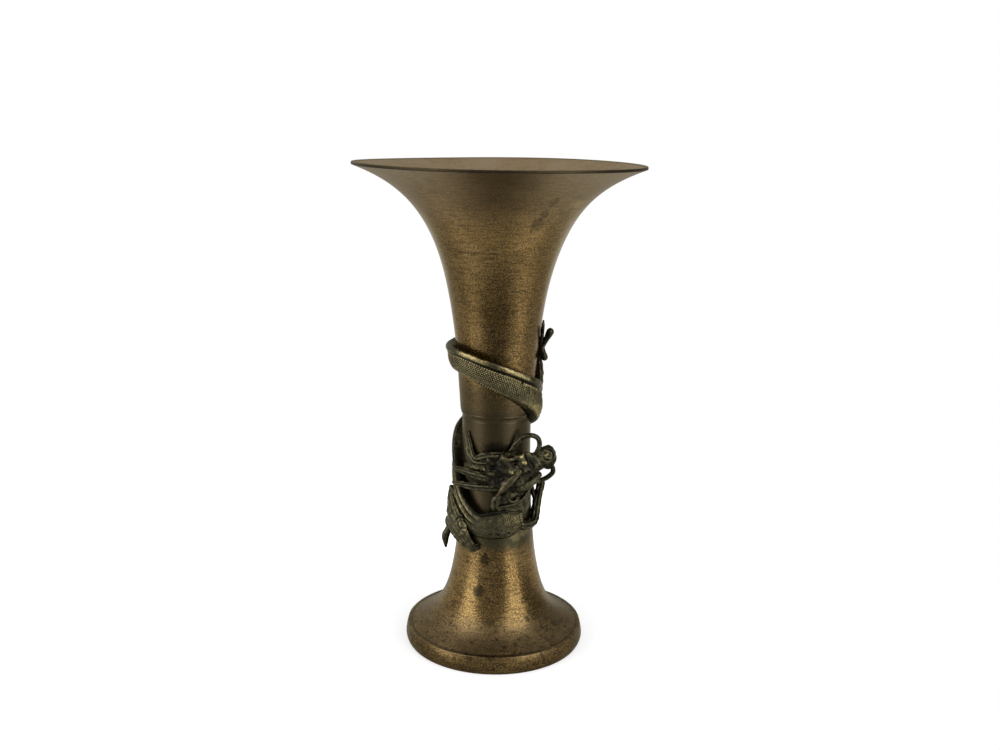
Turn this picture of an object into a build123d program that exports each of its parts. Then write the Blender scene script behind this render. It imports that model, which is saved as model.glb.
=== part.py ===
from build123d import *
import math
import os

# A bronze vase in the gu form, with a dragon wound round its stem. Millimetres, +Z up.
# The origin is the centre of the foot's lower face, and the front is towards -Y.
# Angles round the vase run from the front (0) towards +X (90), and go on past full turns.

# Vessel: overall sizes
vessel_height = 300.0
mouth_radius = 87.0
foot_radius = 55.0
joint_height = 151.4

# Vessel: trumpet
lip_wall = 1.8
lip_round = 0.4
throat_wall = 3.0
neck_radius = 22.3
neck_taper = 0.064
gentle_flare = 33.8
gentle_power = 3.5
lip_power = 12.5

# Vessel: waist joint
ring_height = 5.4
ring_bead_height = 2.2
ring_bead_radius = 21.9
ring_band_radius = 21.3
socket_depth = 12.0
spigot_wall = 2.4
joint_clearance = 0.1

# Vessel: stem and foot
stem_wall = 3.0
stem_radius = 20.6
bell_radius = 53.3
bell_slow_flare = 18.0
bell_slow_length = 36.0
bell_fast_length = 8.0
band_height = 11.0
band_top_radius = 55.4
band_bulge_radius = 56.4
band_groove = 0.6
foot_rim_wall = 4.0
plate_recess = 5.0
plate_thickness = 2.0
plate_ledge = 4.5

# Vessel: heights taken along each flared outline
station_count = 6
station_crowding = 0.6

# Dragon: how it sits on the wall
solder_gap = 0.12
root_depth = 1.5

# Dragon: line of the body, from tail to shoulder, as (angle, height above the waist joint)
body_line = [
    (-235, 55.0), (-135, 36.5), (-90, 33.2), (-45, 32.2), (0, 25.1), (57, 12.4), (90, 4.2),
    (130, -4.5), (180, -10.5), (240, -20.5), (270, -35.5), (300, -55.0), (334, -68.2), (365, -68.6),
    (398, -66.0),
]
# Width of the body across the wall, and how far it stands off, as (angle, size)
body_width = [
    (-235, 3.0), (-180, 9.0), (-90, 14.5), (0, 17.8), (45, 18.5), (92, 23.5), (140, 18.5), (262, 17.0),
    (300, 15.5), (334, 15.0), (380, 16.6), (398, 12.0),
]
body_stand = [(-235, 2.6), (-180, 4.6), (-90, 6.1), (60, 6.2), (270, 6.0), (398, 5.2)]
# How far the section leans outwards at the belly and inwards at the back, as (angle, share of the stand)
body_lean = [(-235, 0.0), (20, 0.0), (85, 0.34), (150, 0.0), (398, 0.0)]
bead_share = [
    (-235, 0.2), (190, 0.2), (262, 0.11), (398, 0.1),
]
bead_root = 1.6
# Section of the body: the flank from the belly edge up, then the back bead from its groove over,
# as shares of the half width or of the bead's width, and of the stand
flank_shares = [(1.0, 0.25), (0.8, 0.66), (0.1, 0.9)]
back_shares = [(1.25, 0.84), (1.0, 1.0), (0.35, 1.0), (0.0, 0.78), (0.2, 0.5)]
tail_start = -235
tail_end = -100
upper_end = 90
back_end = 262
shoulder_end = 398
coil_step = 14

# Dragon: fixing pins
pin_radius = 0.8
pin_hole_clearance = 0.05
pin_sink = 0.5
pin_bite = 1.5
pin_reach = 0.7
# Each pin is at an angle along the body and a distance above or below its middle line
pin_places = [
    (-84, 0.0), (29, 3.2), (196, -1.0), (240, -1.0), (275, 0.0), (362, -6.0), (376, -6.2),
]

# Dragon: limbs, each a list of (angle, rise above the waist joint, stand, half width, half depth)
head_line = [
    (-14, -36.5, 2.8, 6.5, 3.4), (-6, -36.0, 4.2, 11.0, 5.4), (10, -34.4, 5.4, 13.2, 6.4),
    (28, -31.9, 6.6, 12.6, 6.8), (41, -29.7, 8.6, 8.5, 6.0), (51, -27.8, 10.8, 6.0, 5.0),
    (59, -26.4, 13.4, 7.2, 5.6), (65, -26.2, 15.8, 7.4, 4.8), (69, -26.2, 17.6, 5.0, 2.6),
]
jaw_line = [(22, -43.0, 7.0, 3.4, 4.0), (34, -42.0, 8.5, 3.2, 4.0), (45, -38.5, 10.5, 2.6, 3.2),
            (53, -34.8, 12.5, 1.8, 2.2)]
neck_line = [
    (40, -66.0, 1.6, 11.0, 2.6), (38, -57.0, 2.2, 11.5, 3.2), (30, -49.0, 3.0, 11.0, 3.6),
    (24, -44.0, 3.6, 9.0, 3.8),
]
spike_line = [(26, -30.0, 13.0, 1.4, 1.2), (16, -36.5, 12.4, 2.2, 1.7), (7, -42.5, 10.6, 1.9, 1.5),
              (1, -47.5, 8.6, 0.7, 0.6)]
upper_whisker_line = [
    (48, -24.0, 10.0, 1.5, 1.5), (51, -17.4, 10.2, 1.4, 1.4), (50, -12.6, 9.6, 1.4, 1.4),
    (44.5, -9.8, 7.8, 1.4, 1.4), (38, -12.2, 5.0, 1.3, 1.3), (28, -17.5, 2.6, 1.2, 1.2),
    (20, -22.0, 2.0, 0.9, 0.9),
]
lower_whisker_line = [
    (56, -29.5, 13.6, 1.5, 1.5), (62, -31.6, 16.8, 1.5, 1.5), (64.5, -35.8, 17.0, 1.5, 1.5),
    (62, -39.4, 13.8, 1.5, 1.5), (57, -41.2, 10.2, 1.4, 1.4), (50, -42.6, 7.6, 1.4, 1.4),
    (45, -46.6, 6.2, 1.3, 1.3), (37, -50.8, 6.2, 1.3, 1.3), (24, -53.2, 6.4, 1.3, 1.3),
    (10, -54.6, 6.4, 1.1, 1.1), (3, -55.6, 6.2, 0.7, 0.7),
]
upper_horn_line = [
    (20, -34.0, 8.5, 2.2, 1.5), (-7, -31.4, 7.4, 2.3, 1.4), (-26, -31.0, 7.2, 2.2, 1.3),
    (-48, -30.8, 7.2, 1.8, 1.1), (-64, -32.4, 7.8, 0.7, 0.6),
]
lower_horn_line = [
    (8, -41.2, 8.5, 2.0, 1.5), (-19, -41.2, 7.6, 2.2, 1.4), (-40, -41.8, 7.8, 1.8, 1.2),
    (-62, -43.2, 8.2, 0.7, 0.6),
]
mane_lines = [
    [(8, -36.0, 1.5, 10.0, 2.5), (-12, -35.5, 1.5, 10.5, 2.6), (-30, -34.5, 1.4, 10.0, 2.4),
     (-46, -33.0, 1.2, 8.0, 2.0), (-56, -31.0, 0.8, 3.5, 1.2)],
    [(0, -27.5, 4.0, 2.0, 2.0), (-16, -28.4, 4.2, 2.2, 2.0), (-30, -28.0, 4.0, 2.6, 2.2),
     (-41, -24.0, 3.0, 3.0, 1.9), (-47, -18.5, 2.0, 2.6, 1.5), (-52, -11.4, 1.2, 0.6, 0.6)],
    [(14, -24.0, 4.2, 2.8, 2.4), (-6, -23.8, 4.6, 3.0, 2.6), (-22, -25.4, 4.2, 2.6, 2.2),
     (-33, -28.5, 3.2, 1.0, 1.0)],
    [(2, -38.0, 3.5, 1.8, 1.6), (-15, -36.5, 3.6, 2.0, 1.7), (-30, -36.0, 3.4, 1.6, 1.4),
     (-44, -37.5, 3.2, 0.6, 0.6)],
]
hind_leg_right_line = [(96, 8.0, 2.5, 4.5, 2.6), (98, 15.0, 2.8, 4.2, 2.4), (99, 22.5, 2.8, 3.4, 2.1),
                       (99, 29.0, 2.0, 2.4, 1.7), (97, 34.5, 0.9, 1.2, 1.0)]
hind_toes_right = [
    [(97, 33.0, 1.6, 1.6, 1.5), (96, 38.0, 2.0, 1.9, 1.7), (95, 45.0, 1.6, 1.3, 1.2),
     (94.5, 51.0, 1.4, 1.2, 1.0), (95, 55.0, 1.1, 0.5, 0.5)],
    [(96, 37.0, 2.0, 1.7, 1.6), (93, 43.0, 4.2, 1.8, 1.7), (91, 47.5, 5.8, 2.6, 2.3),
     (90, 50.2, 6.4, 2.2, 2.0)],
    [(96, 39.0, 2.0, 1.8, 1.7), (94, 35.0, 3.2, 1.9, 1.8), (92, 31.8, 4.4, 2.3, 2.1),
     (91.5, 29.8, 4.6, 1.6, 1.5)],
]
hind_leg_left_line = [(138, -7.0, 2.5, 4.2, 2.4), (142, -15.0, 2.8, 3.8, 2.3), (147, -22.0, 2.4, 2.8, 1.8),
                      (150, -27.0, 1.4, 1.4, 1.1)]
hind_toes_left = [
    [(149, -25.0, 1.6, 1.6, 1.4), (150, -30.0, 2.0, 1.7, 1.5), (146, -35.0, 1.9, 1.3, 1.2),
     (142, -39.0, 1.4, 0.5, 0.5)],
    [(150, -29.0, 2.0, 1.7, 1.5), (152, -35.0, 2.8, 1.5, 1.4), (153, -41.0, 2.2, 0.6, 0.6)],
    [(150, -29.0, 2.0, 1.6, 1.5), (158, -32.0, 3.0, 1.5, 1.4), (165, -34.5, 2.6, 0.6, 0.6)],
]
foreleg_left_line = [
    (-82, -49.0, 6.0, 1.4, 1.4), (-76, -56.5, 4.8, 5.2, 3.4), (-65, -65.5, 5.0, 8.2, 4.0),
    (-51, -73.5, 5.0, 7.4, 3.8), (-38, -80.0, 3.8, 3.6, 2.8), (-29, -82.8, 3.2, 2.4, 2.2),
    (-23, -81.4, 2.6, 1.2, 1.2),
]
fore_toes_left = [
    [(-79, -73.0, 4.0, 2.0, 2.0), (-81, -78.5, 6.0, 2.2, 2.2), (-81, -82.5, 7.3, 2.4, 2.5),
     (-80, -86.5, 6.9, 1.6, 1.6), (-78.5, -90.0, 6.4, 0.6, 0.6)],
    [(-80, -75.5, 5.0, 1.8, 1.8), (-83, -74.5, 6.6, 1.6, 1.6), (-84, -71.5, 6.8, 1.4, 1.4),
     (-83, -69.5, 6.0, 0.8, 0.8)],
]
foreleg_right_line = [
    (34, -69.0, 2.5, 2.8, 2.4), (52, -70.4, 2.6, 2.8, 2.4), (68, -70.6, 2.6, 2.6, 2.3),
    (79, -67.4, 2.6, 2.4, 2.1), (84, -61.0, 3.4, 2.3, 2.0), (85, -54.0, 4.9, 2.2, 1.9),
    (85, -48.0, 6.6, 1.9, 1.7), (85, -45.0, 7.2, 0.9, 0.9),
]
fore_toes_right = [
    [(85, -57.0, 3.6, 1.2, 1.2), (81, -52.0, 1.8, 1.1, 1.0), (79, -48.5, 1.0, 0.5, 0.5)],
    [(85, -47.5, 6.8, 1.1, 1.1), (84, -43.0, 5.4, 0.5, 0.5)],
]
curl_centre = (21, -48.0, 7.3)
curl_radius = 3.6
curl_rod = 1.3
curl_start = 60
curl_turn = 300
curl_step = 30
eye_place = (30, -26.0)
eye_stands = (2.2, 12.9)
eye_radius = 1.8


def trumpet_radius(height):
    """Outer radius of the upper casting: a slow taper plus a gentle flare and a sharp lip flare."""
    run = vessel_height - lip_wall - joint_height
    share = max(0.0, (height - joint_height) / run)
    lip_flare = mouth_radius - lip_round - neck_radius - neck_taper * run - gentle_flare
    taper = neck_radius + neck_taper * (height - joint_height)
    return taper + gentle_flare * share**gentle_power + lip_flare * share**lip_power


def bell_outline(height):
    """Outer radius of the lower casting: the stem plus a slow and a fast falling flare."""
    rise = height - band_height
    fast_flare = bell_radius - stem_radius - bell_slow_flare
    slow = bell_slow_flare * math.exp(-rise / bell_slow_length)
    return stem_radius + slow + fast_flare * math.exp(-rise / bell_fast_length)


def wall_radius(height):
    """Outer radius of the vessel where the dragon lies."""
    if height >= joint_height:
        return trumpet_radius(height)
    if height >= joint_height - ring_bead_height:
        return ring_bead_radius
    if height >= joint_height - ring_height:
        return ring_band_radius
    return bell_outline(height)


def inset(outline, height, depth):
    """The point at a depth below an outline, square to it, as (radius, height)."""
    step = 0.01
    slope = (outline(height + step) - outline(height - step)) / (2 * step)
    length = math.hypot(1.0, slope)
    return (outline(height) - depth / length, height + depth * slope / length)


def smooth_through(knots, place):
    """A cubic through knots (place, value), whose slope at a knot is that of its neighbours."""
    last = len(knots) - 1

    def slope(index):
        before = knots[max(index - 1, 0)]
        after = knots[min(index + 1, last)]
        return (after[1] - before[1]) / (after[0] - before[0])

    index = 0
    while index < last - 1 and place > knots[index + 1][0]:
        index += 1
    start, end = knots[index], knots[index + 1]
    span = end[0] - start[0]
    t = (place - start[0]) / span
    bend = t * t * (3 - 2 * t)
    lead = t * (1 - t) * (1 - t) * span * slope(index)
    trail = t * t * (t - 1) * span * slope(index + 1)
    return start[1] * (1 - bend) + end[1] * bend + lead + trail


def outward(angle):
    """Unit vector away from the axis at an angle."""
    turn = math.radians(angle)
    return Vector(math.sin(turn), -math.cos(turn), 0)


def around(angle):
    """Unit vector along the wall, towards greater angles."""
    turn = math.radians(angle)
    return Vector(math.cos(turn), math.sin(turn), 0)


def on_wall(angle, rise, stand):
    """The point that stands off the wall at an angle and a height above the waist joint."""
    height = joint_height + rise
    return outward(angle) * (wall_radius(height) + stand) + Vector(0, 0, height)


def revolved(points_and_curves):
    """Solid of revolution of a closed outline of edges in the XZ plane."""
    return revolve(make_face(points_and_curves), Axis.Z)


def at(radius, height):
    """A point of an outline that is turned about the axis."""
    return (radius, 0, height)


def chain(*points):
    """Straight outline edges through points (radius, height)."""
    return Polyline(*[at(*point) for point in points])


def flare(points):
    """Arcs through points (radius, height), each through three of them in turn."""
    starts = range(0, len(points) - 2, 2)
    return [ThreePointArc(*[at(*point) for point in points[i:i + 3]]) for i in starts]


def stations(start, end):
    """Heights from start to end, crowded towards the end, where the outline turns fastest."""
    shares = [(i / station_count) ** station_crowding for i in range(station_count + 1)]
    return [start + (end - start) * share for share in shares]


def make_trumpet():
    """Upper casting: a flared wall that thins to the lip, with the socket at its lower end."""
    rim = vessel_height - lip_wall
    heights = stations(joint_height, rim)
    outer = [(trumpet_radius(height), height) for height in heights]
    socket_radius = neck_radius - throat_wall
    socket_top = joint_height + socket_depth
    inner = []
    for height in stations(socket_top + throat_wall, rim)[:-1]:
        share = (height - joint_height) / (rim - joint_height)
        inner.append(inset(trumpet_radius, height, throat_wall + (lip_wall - throat_wall) * share))
    inner.append((inset(trumpet_radius, rim, lip_wall)[0], vessel_height))
    lip = chain(outer[-1], (mouth_radius, rim + lip_round),
                (mouth_radius, vessel_height - lip_round), inner[-1])
    bore_start = inner[0]
    foot = chain(bore_start, (bore_start[0], socket_top), (socket_radius, socket_top),
                 (socket_radius, joint_height), outer[0])
    return revolved([*flare(outer), lip, *flare(inner), foot])


def make_waist_ring():
    """Collar with a rounded bead at its top and a plain band below."""
    inner = neck_radius - throat_wall
    low = joint_height - ring_height
    bead_low = joint_height - ring_bead_height
    bead_edge = ring_bead_radius - ring_bead_height / 4
    bead_round = ring_bead_height / 4
    outline = chain((ring_band_radius, low), (ring_band_radius, bead_low), (bead_edge, bead_low),
                    (ring_bead_radius, bead_low + bead_round),
                    (ring_bead_radius, joint_height - bead_round), (bead_edge, joint_height),
                    (inner, joint_height), (inner, low), (ring_band_radius, low))
    return revolved([outline])


def make_stem_foot():
    """Lower casting: spigot, stem, bell foot and foot band, hollow right through."""
    shoulder = joint_height - ring_height
    spigot_radius = neck_radius - throat_wall - joint_clearance
    spigot_bore = spigot_radius - spigot_wall
    spigot_top = joint_height + socket_depth - joint_clearance
    rim_bore = foot_radius - foot_rim_wall
    ledge = plate_recess + plate_thickness
    ledge_bore = rim_bore - plate_ledge
    flare_low = band_height + band_groove
    outer = [(bell_outline(height), height) for height in stations(shoulder, flare_low)]
    inner = [inset(bell_outline, height, stem_wall) for height in stations(shoulder, flare_low + stem_wall)]
    inner[0] = (spigot_bore, shoulder)
    bell_end = inner[-1]
    band = ThreePointArc(at(foot_radius, 0), at(band_bulge_radius, band_height / 2),
                         at(band_top_radius, band_height))
    step = chain((band_top_radius, band_height), (bell_radius - band_groove, band_height), outer[-1])
    spigot = chain(outer[0], (spigot_radius, shoulder), (spigot_radius, spigot_top),
                   (spigot_bore, spigot_top), inner[0])
    inside = chain(bell_end, (ledge_bore, ledge + stem_wall), (ledge_bore, ledge), (rim_bore, ledge),
                   (rim_bore, 0), (foot_radius, 0))
    return revolved([band, step, *flare(outer), spigot, *flare(inner), inside])


def make_base_plate():
    """Disc let into the foot from below, up against the ledge."""
    radius = foot_radius - foot_rim_wall - joint_clearance
    plate = Cylinder(radius, plate_thickness, align=(Align.CENTER, Align.CENTER, Align.MIN))
    return Pos(0, 0, plate_recess) * plate


def make_core():
    """The vessel filled in and grown by the solder gap: what the dragon's pieces are cut by."""
    rim = vessel_height - lip_wall
    shoulder = joint_height - ring_height
    bead_low = joint_height - ring_bead_height
    upper = [(trumpet_radius(height) + solder_gap, height) for height in stations(joint_height, rim)]
    flare_low = band_height + band_groove
    lower = [(bell_outline(height) + solder_gap, height) for height in stations(shoulder, flare_low)]
    waist = chain(upper[0], (ring_bead_radius + solder_gap, joint_height),
                  (ring_bead_radius + solder_gap, bead_low), (ring_band_radius + solder_gap, bead_low),
                  (ring_band_radius + solder_gap, shoulder), lower[0])
    ends = chain(lower[-1], (0, flare_low), (0, rim), upper[-1])
    return revolved([*flare(upper), waist, *flare(lower), ends])


core = make_core()


def trimmed(solid, *others):
    """A piece cut back to the wall and to the pieces that carry it, keeping its largest solid."""
    cut = solid - core
    for other in others:
        cut = cut - other
    return max(cut.solids(), key=lambda item: item.volume)


def coil_section(angle):
    """Section of the body: belly edge on the wall, full flank, and a back bead that stands clear."""
    rise = smooth_through(body_line, angle)
    width = smooth_through(body_width, angle)
    stand = smooth_through(body_stand, angle)
    tilt = smooth_through(body_lean, angle)
    bead = smooth_through(bead_share, angle) * width
    step = 0.5
    climb = smooth_through(body_line, min(angle + step, shoulder_end))
    climb -= smooth_through(body_line, max(angle - step, tail_start))
    span = min(angle + step, shoulder_end) - max(angle - step, tail_start)
    radius = wall_radius(joint_height + rise)
    along = (around(angle) * (radius * math.radians(span)) + Vector(0, 0, climb)).normalized()
    across = outward(angle).cross(along).normalized()
    half = width / 2
    flank = [(-half, -root_depth)]
    flank += [(-across_share * half, stand_share * stand) for across_share, stand_share in flank_shares]
    back = [(half - across_share * bead, stand_share * stand) for across_share, stand_share in back_shares]
    back += [(half - bead_root * bead, -root_depth)]
    points = []
    for side, height in flank + back:
        swing = side * across.dot(around(angle))
        drop = math.sqrt(max(radius * radius - swing * swing, 0.0)) - radius
        lean = wall_radius(joint_height + rise + side * across.Z) - radius
        if height > 0:
            height = height * (1 - tilt * side / half)
        points.append(on_wall(angle, rise, height + drop + lean) + across * side)
    return Wire.make_polygon(points, close=True)


def make_coil(start, end):
    """A length of the body between two angles."""
    count = max(4, round((end - start) / coil_step))
    sections = [coil_section(start + (end - start) * i / count) for i in range(count + 1)]
    return Solid.make_loft(sections)


def make_limb(places, sides=6, hug=False):
    """A tapering limb through (angle, rise, stand, half width, half depth) places.

    A limb that hugs the wall has its sections bent round it."""
    centres = [on_wall(*place[:3]) for place in places]
    last = len(places) - 1
    sections = []
    for index, place in enumerate(places):
        along = (centres[min(index + 1, last)] - centres[max(index - 1, 0)]).normalized()
        across = outward(place[0]).cross(along).normalized()
        up = along.cross(across)
        half_width, half_depth = place[3:]
        points = []
        for corner in range(sides):
            turn = 2 * math.pi * (corner + 0.5) / sides
            side = half_width * math.cos(turn)
            offset = across * side + up * (half_depth * math.sin(turn))
            if hug:
                radius = wall_radius(joint_height + place[1]) + place[2]
                swing = side * across.dot(around(place[0]))
                offset += up * (math.sqrt(radius * radius - swing * swing) - radius)
            points.append(centres[index] + offset)
        sections.append(Wire.make_polygon(points, close=True))
    return Solid.make_loft(sections)


def make_rod(place, radius, low, high):
    """A round pin or its hole, square to the wall, between two distances from the wall."""
    angle, side = place
    rise = smooth_through(body_line, angle) + side
    plane = Plane(origin=on_wall(angle, rise, low), z_dir=outward(angle))
    rod = Cylinder(radius, high - low, align=(Align.CENTER, Align.CENTER, Align.MIN))
    return plane.location * rod


def make_pin(place):
    """A fixing pin that starts below the coil's surface and bites into the wall."""
    top = pin_reach * smooth_through(body_stand, place[0]) - pin_sink
    return make_rod(place, pin_radius, -pin_bite, top)


def drilled(shape, depth, height):
    """A piece with the pins' holes in it, between a depth in the wall and a height above it."""
    for place in pin_places:
        shape = shape - make_rod(place, pin_radius + pin_hole_clearance, -depth, height)
    return max(shape.solids(), key=lambda item: item.volume)


def make_curl(centre, radius, rod, turn):
    """An open ring that lies in the plane of the wall, like a curled lock."""
    angle, rise, stand = centre
    wall = wall_radius(joint_height + rise) + stand
    places = []
    for step in range(turn // curl_step + 1):
        swing = math.radians(curl_start + curl_step * step)
        sideways = math.degrees(radius * math.cos(swing) / wall)
        places.append((angle + sideways, rise + radius * math.sin(swing), stand, rod, rod))
    return make_limb(places)


def make_toes(lines):
    """Toes that grow from one palm."""
    paw = make_limb(lines[0])
    for line in lines[1:]:
        paw = paw + make_limb(line)
    return paw


def make_eye(stand):
    """A round eye set into the side of the head."""
    angle, rise = eye_place
    return Pos(*on_wall(angle, rise, stand)) * Sphere(eye_radius)


parts = {}
hole_depth = pin_bite + pin_hole_clearance
hole_height = 2 * max(stand for angle, stand in body_stand)
parts["trumpet"] = drilled(make_trumpet(), hole_depth, hole_height)
parts["waist_ring"] = make_waist_ring()
parts["stem_foot"] = drilled(make_stem_foot(), hole_depth, hole_height)
parts["base_plate"] = make_base_plate()
parts["tail"] = trimmed(make_coil(tail_start, tail_end))
parts["upper_coil"] = drilled(trimmed(make_coil(tail_end, upper_end)), hole_depth, hole_height)
parts["back_coil"] = drilled(trimmed(make_coil(upper_end, back_end)), hole_depth, hole_height)
parts["lower_coil"] = drilled(trimmed(make_coil(back_end, shoulder_end)), hole_depth, hole_height)
parts["coil_pins"] = Compound([make_pin(place) for place in pin_places])

upper_coil, back_coil, lower_coil = parts["upper_coil"], parts["back_coil"], parts["lower_coil"]

head = trimmed(make_limb(head_line, 10))
parts["head"] = head
parts["lower_jaw"] = trimmed(make_limb(jaw_line), head)
parts["neck"] = trimmed(make_limb(neck_line, 8, hug=True), head, parts["lower_jaw"], lower_coil)
parts["cheek_spikes"] = trimmed(make_limb(spike_line), head)
parts["upper_whisker"] = trimmed(make_limb(upper_whisker_line), head)
face = [head, parts["lower_jaw"], parts["neck"]]
parts["lower_whisker"] = trimmed(make_limb(lower_whisker_line), *face, lower_coil)
curl = make_curl(curl_centre, curl_radius, curl_rod, curl_turn)
parts["cheek_curl"] = trimmed(curl, *face, parts["lower_whisker"], parts["cheek_spikes"])
parts["upper_horn"] = trimmed(make_limb(upper_horn_line), head, parts["cheek_spikes"], lower_coil)
parts["lower_horn"] = trimmed(make_limb(lower_horn_line), head, parts["cheek_spikes"], lower_coil)
horns = [parts["upper_horn"], parts["lower_horn"]]
locks = []
for line in mane_lines:
    locks.append(trimmed(make_limb(line), head, *horns, lower_coil, *locks))
parts["mane_locks"] = Compound(locks)
parts["eyes"] = Compound([trimmed(make_eye(stand), head) for stand in eye_stands])

parts["hind_leg_right"] = trimmed(make_limb(hind_leg_right_line), upper_coil, back_coil)
parts["hind_paw_right"] = trimmed(make_toes(hind_toes_right), parts["hind_leg_right"])
parts["hind_leg_left"] = trimmed(make_limb(hind_leg_left_line), back_coil)
parts["hind_paw_left"] = trimmed(make_toes(hind_toes_left), parts["hind_leg_left"])
parts["foreleg_left"] = trimmed(make_limb(foreleg_left_line, 8), lower_coil)
parts["fore_claw_left"] = trimmed(make_toes(fore_toes_left), parts["foreleg_left"])
parts["foreleg_right"] = trimmed(make_limb(foreleg_right_line), lower_coil, parts["neck"])
parts["fore_claw_right"] = trimmed(make_toes(fore_toes_right), parts["foreleg_right"])

os.makedirs("parts", exist_ok=True)
for name, shape in parts.items():
    export_step(shape, f"parts/{name}.step")
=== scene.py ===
import math

import bpy
import numpy as np
from bpy.props import FloatProperty, FloatVectorProperty, IntProperty, PointerProperty
from mathutils import Matrix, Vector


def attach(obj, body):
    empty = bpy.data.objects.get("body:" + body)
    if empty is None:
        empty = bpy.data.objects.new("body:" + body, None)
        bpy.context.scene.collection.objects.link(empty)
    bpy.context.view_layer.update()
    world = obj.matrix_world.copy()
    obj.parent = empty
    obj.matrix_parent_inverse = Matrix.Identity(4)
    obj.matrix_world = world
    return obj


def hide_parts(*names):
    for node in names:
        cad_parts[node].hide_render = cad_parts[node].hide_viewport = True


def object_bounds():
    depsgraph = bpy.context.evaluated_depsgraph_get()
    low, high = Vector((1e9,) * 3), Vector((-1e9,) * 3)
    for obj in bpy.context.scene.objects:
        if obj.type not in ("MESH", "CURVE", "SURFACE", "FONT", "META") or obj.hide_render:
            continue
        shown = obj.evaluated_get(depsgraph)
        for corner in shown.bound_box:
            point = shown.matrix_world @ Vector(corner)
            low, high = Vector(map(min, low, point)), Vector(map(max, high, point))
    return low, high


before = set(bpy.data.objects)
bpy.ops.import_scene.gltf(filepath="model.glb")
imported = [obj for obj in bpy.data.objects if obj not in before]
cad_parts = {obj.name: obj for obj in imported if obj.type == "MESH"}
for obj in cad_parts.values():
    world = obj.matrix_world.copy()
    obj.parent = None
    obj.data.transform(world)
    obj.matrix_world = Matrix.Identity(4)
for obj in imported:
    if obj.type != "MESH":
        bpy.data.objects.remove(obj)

bl_info = {
    "name": "Gu Vase with a Coiled Dragon",
    "version": (1, 0, 0),
    "blender": (4, 5, 0),
    "location": "View3D > Sidebar > Vase",
    "description": "Builds a bronze gu-form vase with a dragon wound round its stem",
    "category": "Add Mesh",
}

CAD_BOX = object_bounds()
MM = 0.001
# Height of the waist joint in millimetres; angles are in degrees, 0 at the front and growing to the right
JOINT_HEIGHT = 151.4
# Edges sharper than this are not smoothed
SHARP_ANGLE = 55

# Trumpet, waist ring, stem and foot, in millimetres
LIP_WALL = 1.8
LIP_ROUND = 0.4
LIP_BEVELS = (0.1, 0.12)
THROAT_WALL = 3.0
NECK_TAPER = 0.064
GENTLE_FLARE = 33.8
GENTLE_POWER = 3.5
LIP_POWER = 12.5
RING_HEIGHT = 5.4
RING_BEAD_HEIGHT = 2.2
RING_BEAD_RADIUS = 21.9
RING_BAND_RADIUS = 21.3
RING_HOLLOW = 0.15
SOCKET_DEPTH = 12.0
SPIGOT_WALL = 2.4
STEM_WALL = 3.0
BELL_RADIUS = 53.3
BELL_SLOW_FLARE = 18.0
BELL_SLOW_LENGTH = 36.0
BELL_FAST_LENGTH = 8.0
BAND_HEIGHT = 11.0
# Foot band: how far it stands out beyond the foot's radius, by share of its height
BAND_CURVE = [(0.0, 0.0), (0.12, 0.8), (0.35, 1.4), (0.7, 0.9), (1.0, 0.1)]
BAND_GROOVE = 0.6
# Step on top of the band: how far it is set back, and the heights of it and of the groove beside it
STEP_SET_BACK, STEP_RISE, GROOVE_RISE = 0.3, 0.12, 0.1
FOOT_RIM_WALL = 4.0
PLATE_RECESS = 5.0
PLATE_THICKNESS = 2.0
PLATE_LEDGE = 4.5
CLEARANCE = 0.1
# Height of the rim over one turn: a mean, then cosine and sine shares of one, two and three waves
RIM_WAVES = (-0.02, 0.03, -0.34, 0.09, -0.26, -0.08, 0.19)
RIM_WAVE_REACH = 45.0
# Waves of the hand-finished wall: (number round the vessel, height over which one shifts, share)
WALL_WAVES = ((2, 41, 1.0), (3, -17, 1.0), (7, 9, 0.5))
# Heights between which those waves come in above the foot, and the radius from which they are full
WALL_WAVE_START = (2, 14)
WALL_WAVE_RADIUS = 20.0
# Grid rows of the turned pieces, and the power by which they crowd towards the lip and the foot
TRUMPET_ROWS, TRUMPET_INSIDE_ROWS = 96, 72
RING_BAND_ROWS, RING_BEAD_ROWS = 8, 12
BAND_ROWS, BELL_ROWS, BELL_INSIDE_ROWS = 18, 110, 60
PLATE_ROWS = 24
ROW_CROWDING = 0.6

# Body of the dragon from tail to shoulder, as (angle, rise above the waist joint) and (angle, size)
BODY_LINE = [
    (-235, 55.0), (-135, 36.5), (-90, 33.2), (-45, 32.2), (0, 25.1), (57, 12.4), (90, 4.2),
    (130, -4.5), (180, -10.5), (240, -20.5), (270, -35.5), (300, -55.0), (334, -67.4), (365, -67.0),
    (398, -65.2),
]
BODY_WIDTH = [
    (-235, 3.0), (-180, 9.0), (-90, 14.5), (0, 17.8), (45, 18.5), (92, 23.5), (140, 18.5), (262, 17.0),
    (300, 15.5), (334, 16.6), (365, 19.4), (380, 19.0), (398, 13.6),
]
BODY_STAND = [(-235, 2.6), (-180, 4.6), (-90, 6.1), (60, 6.2), (270, 6.0), (398, 5.2)]
BODY_LEAN = [(-235, 0.0), (20, 0.0), (85, 0.34), (150, 0.0), (398, 0.0)]
ROOT_DEPTH = 1.5
BEAD_SHARE = [(-235, 0.2), (190, 0.2), (262, 0.11), (398, 0.1)]
BEAD_ROOT = 1.6
# Corners of the section: (share of the half width or of the bead's width, share of the stand)
FLANK_SHARES = [(1.0, 0.25), (0.8, 0.66), (0.1, 0.9)]
BACK_SHARES = [(1.25, 0.84), (1.0, 1.0), (0.35, 1.0), (0.0, 0.78), (0.2, 0.5)]
# Half width, stand, lean and bead share that the grid's columns are spaced for
TYPICAL_SECTION = (8.8, 6.2, 0.0, 0.2)
# How far the section follows the flare of the wall at most
MOST_LEAN = 3.0
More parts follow.
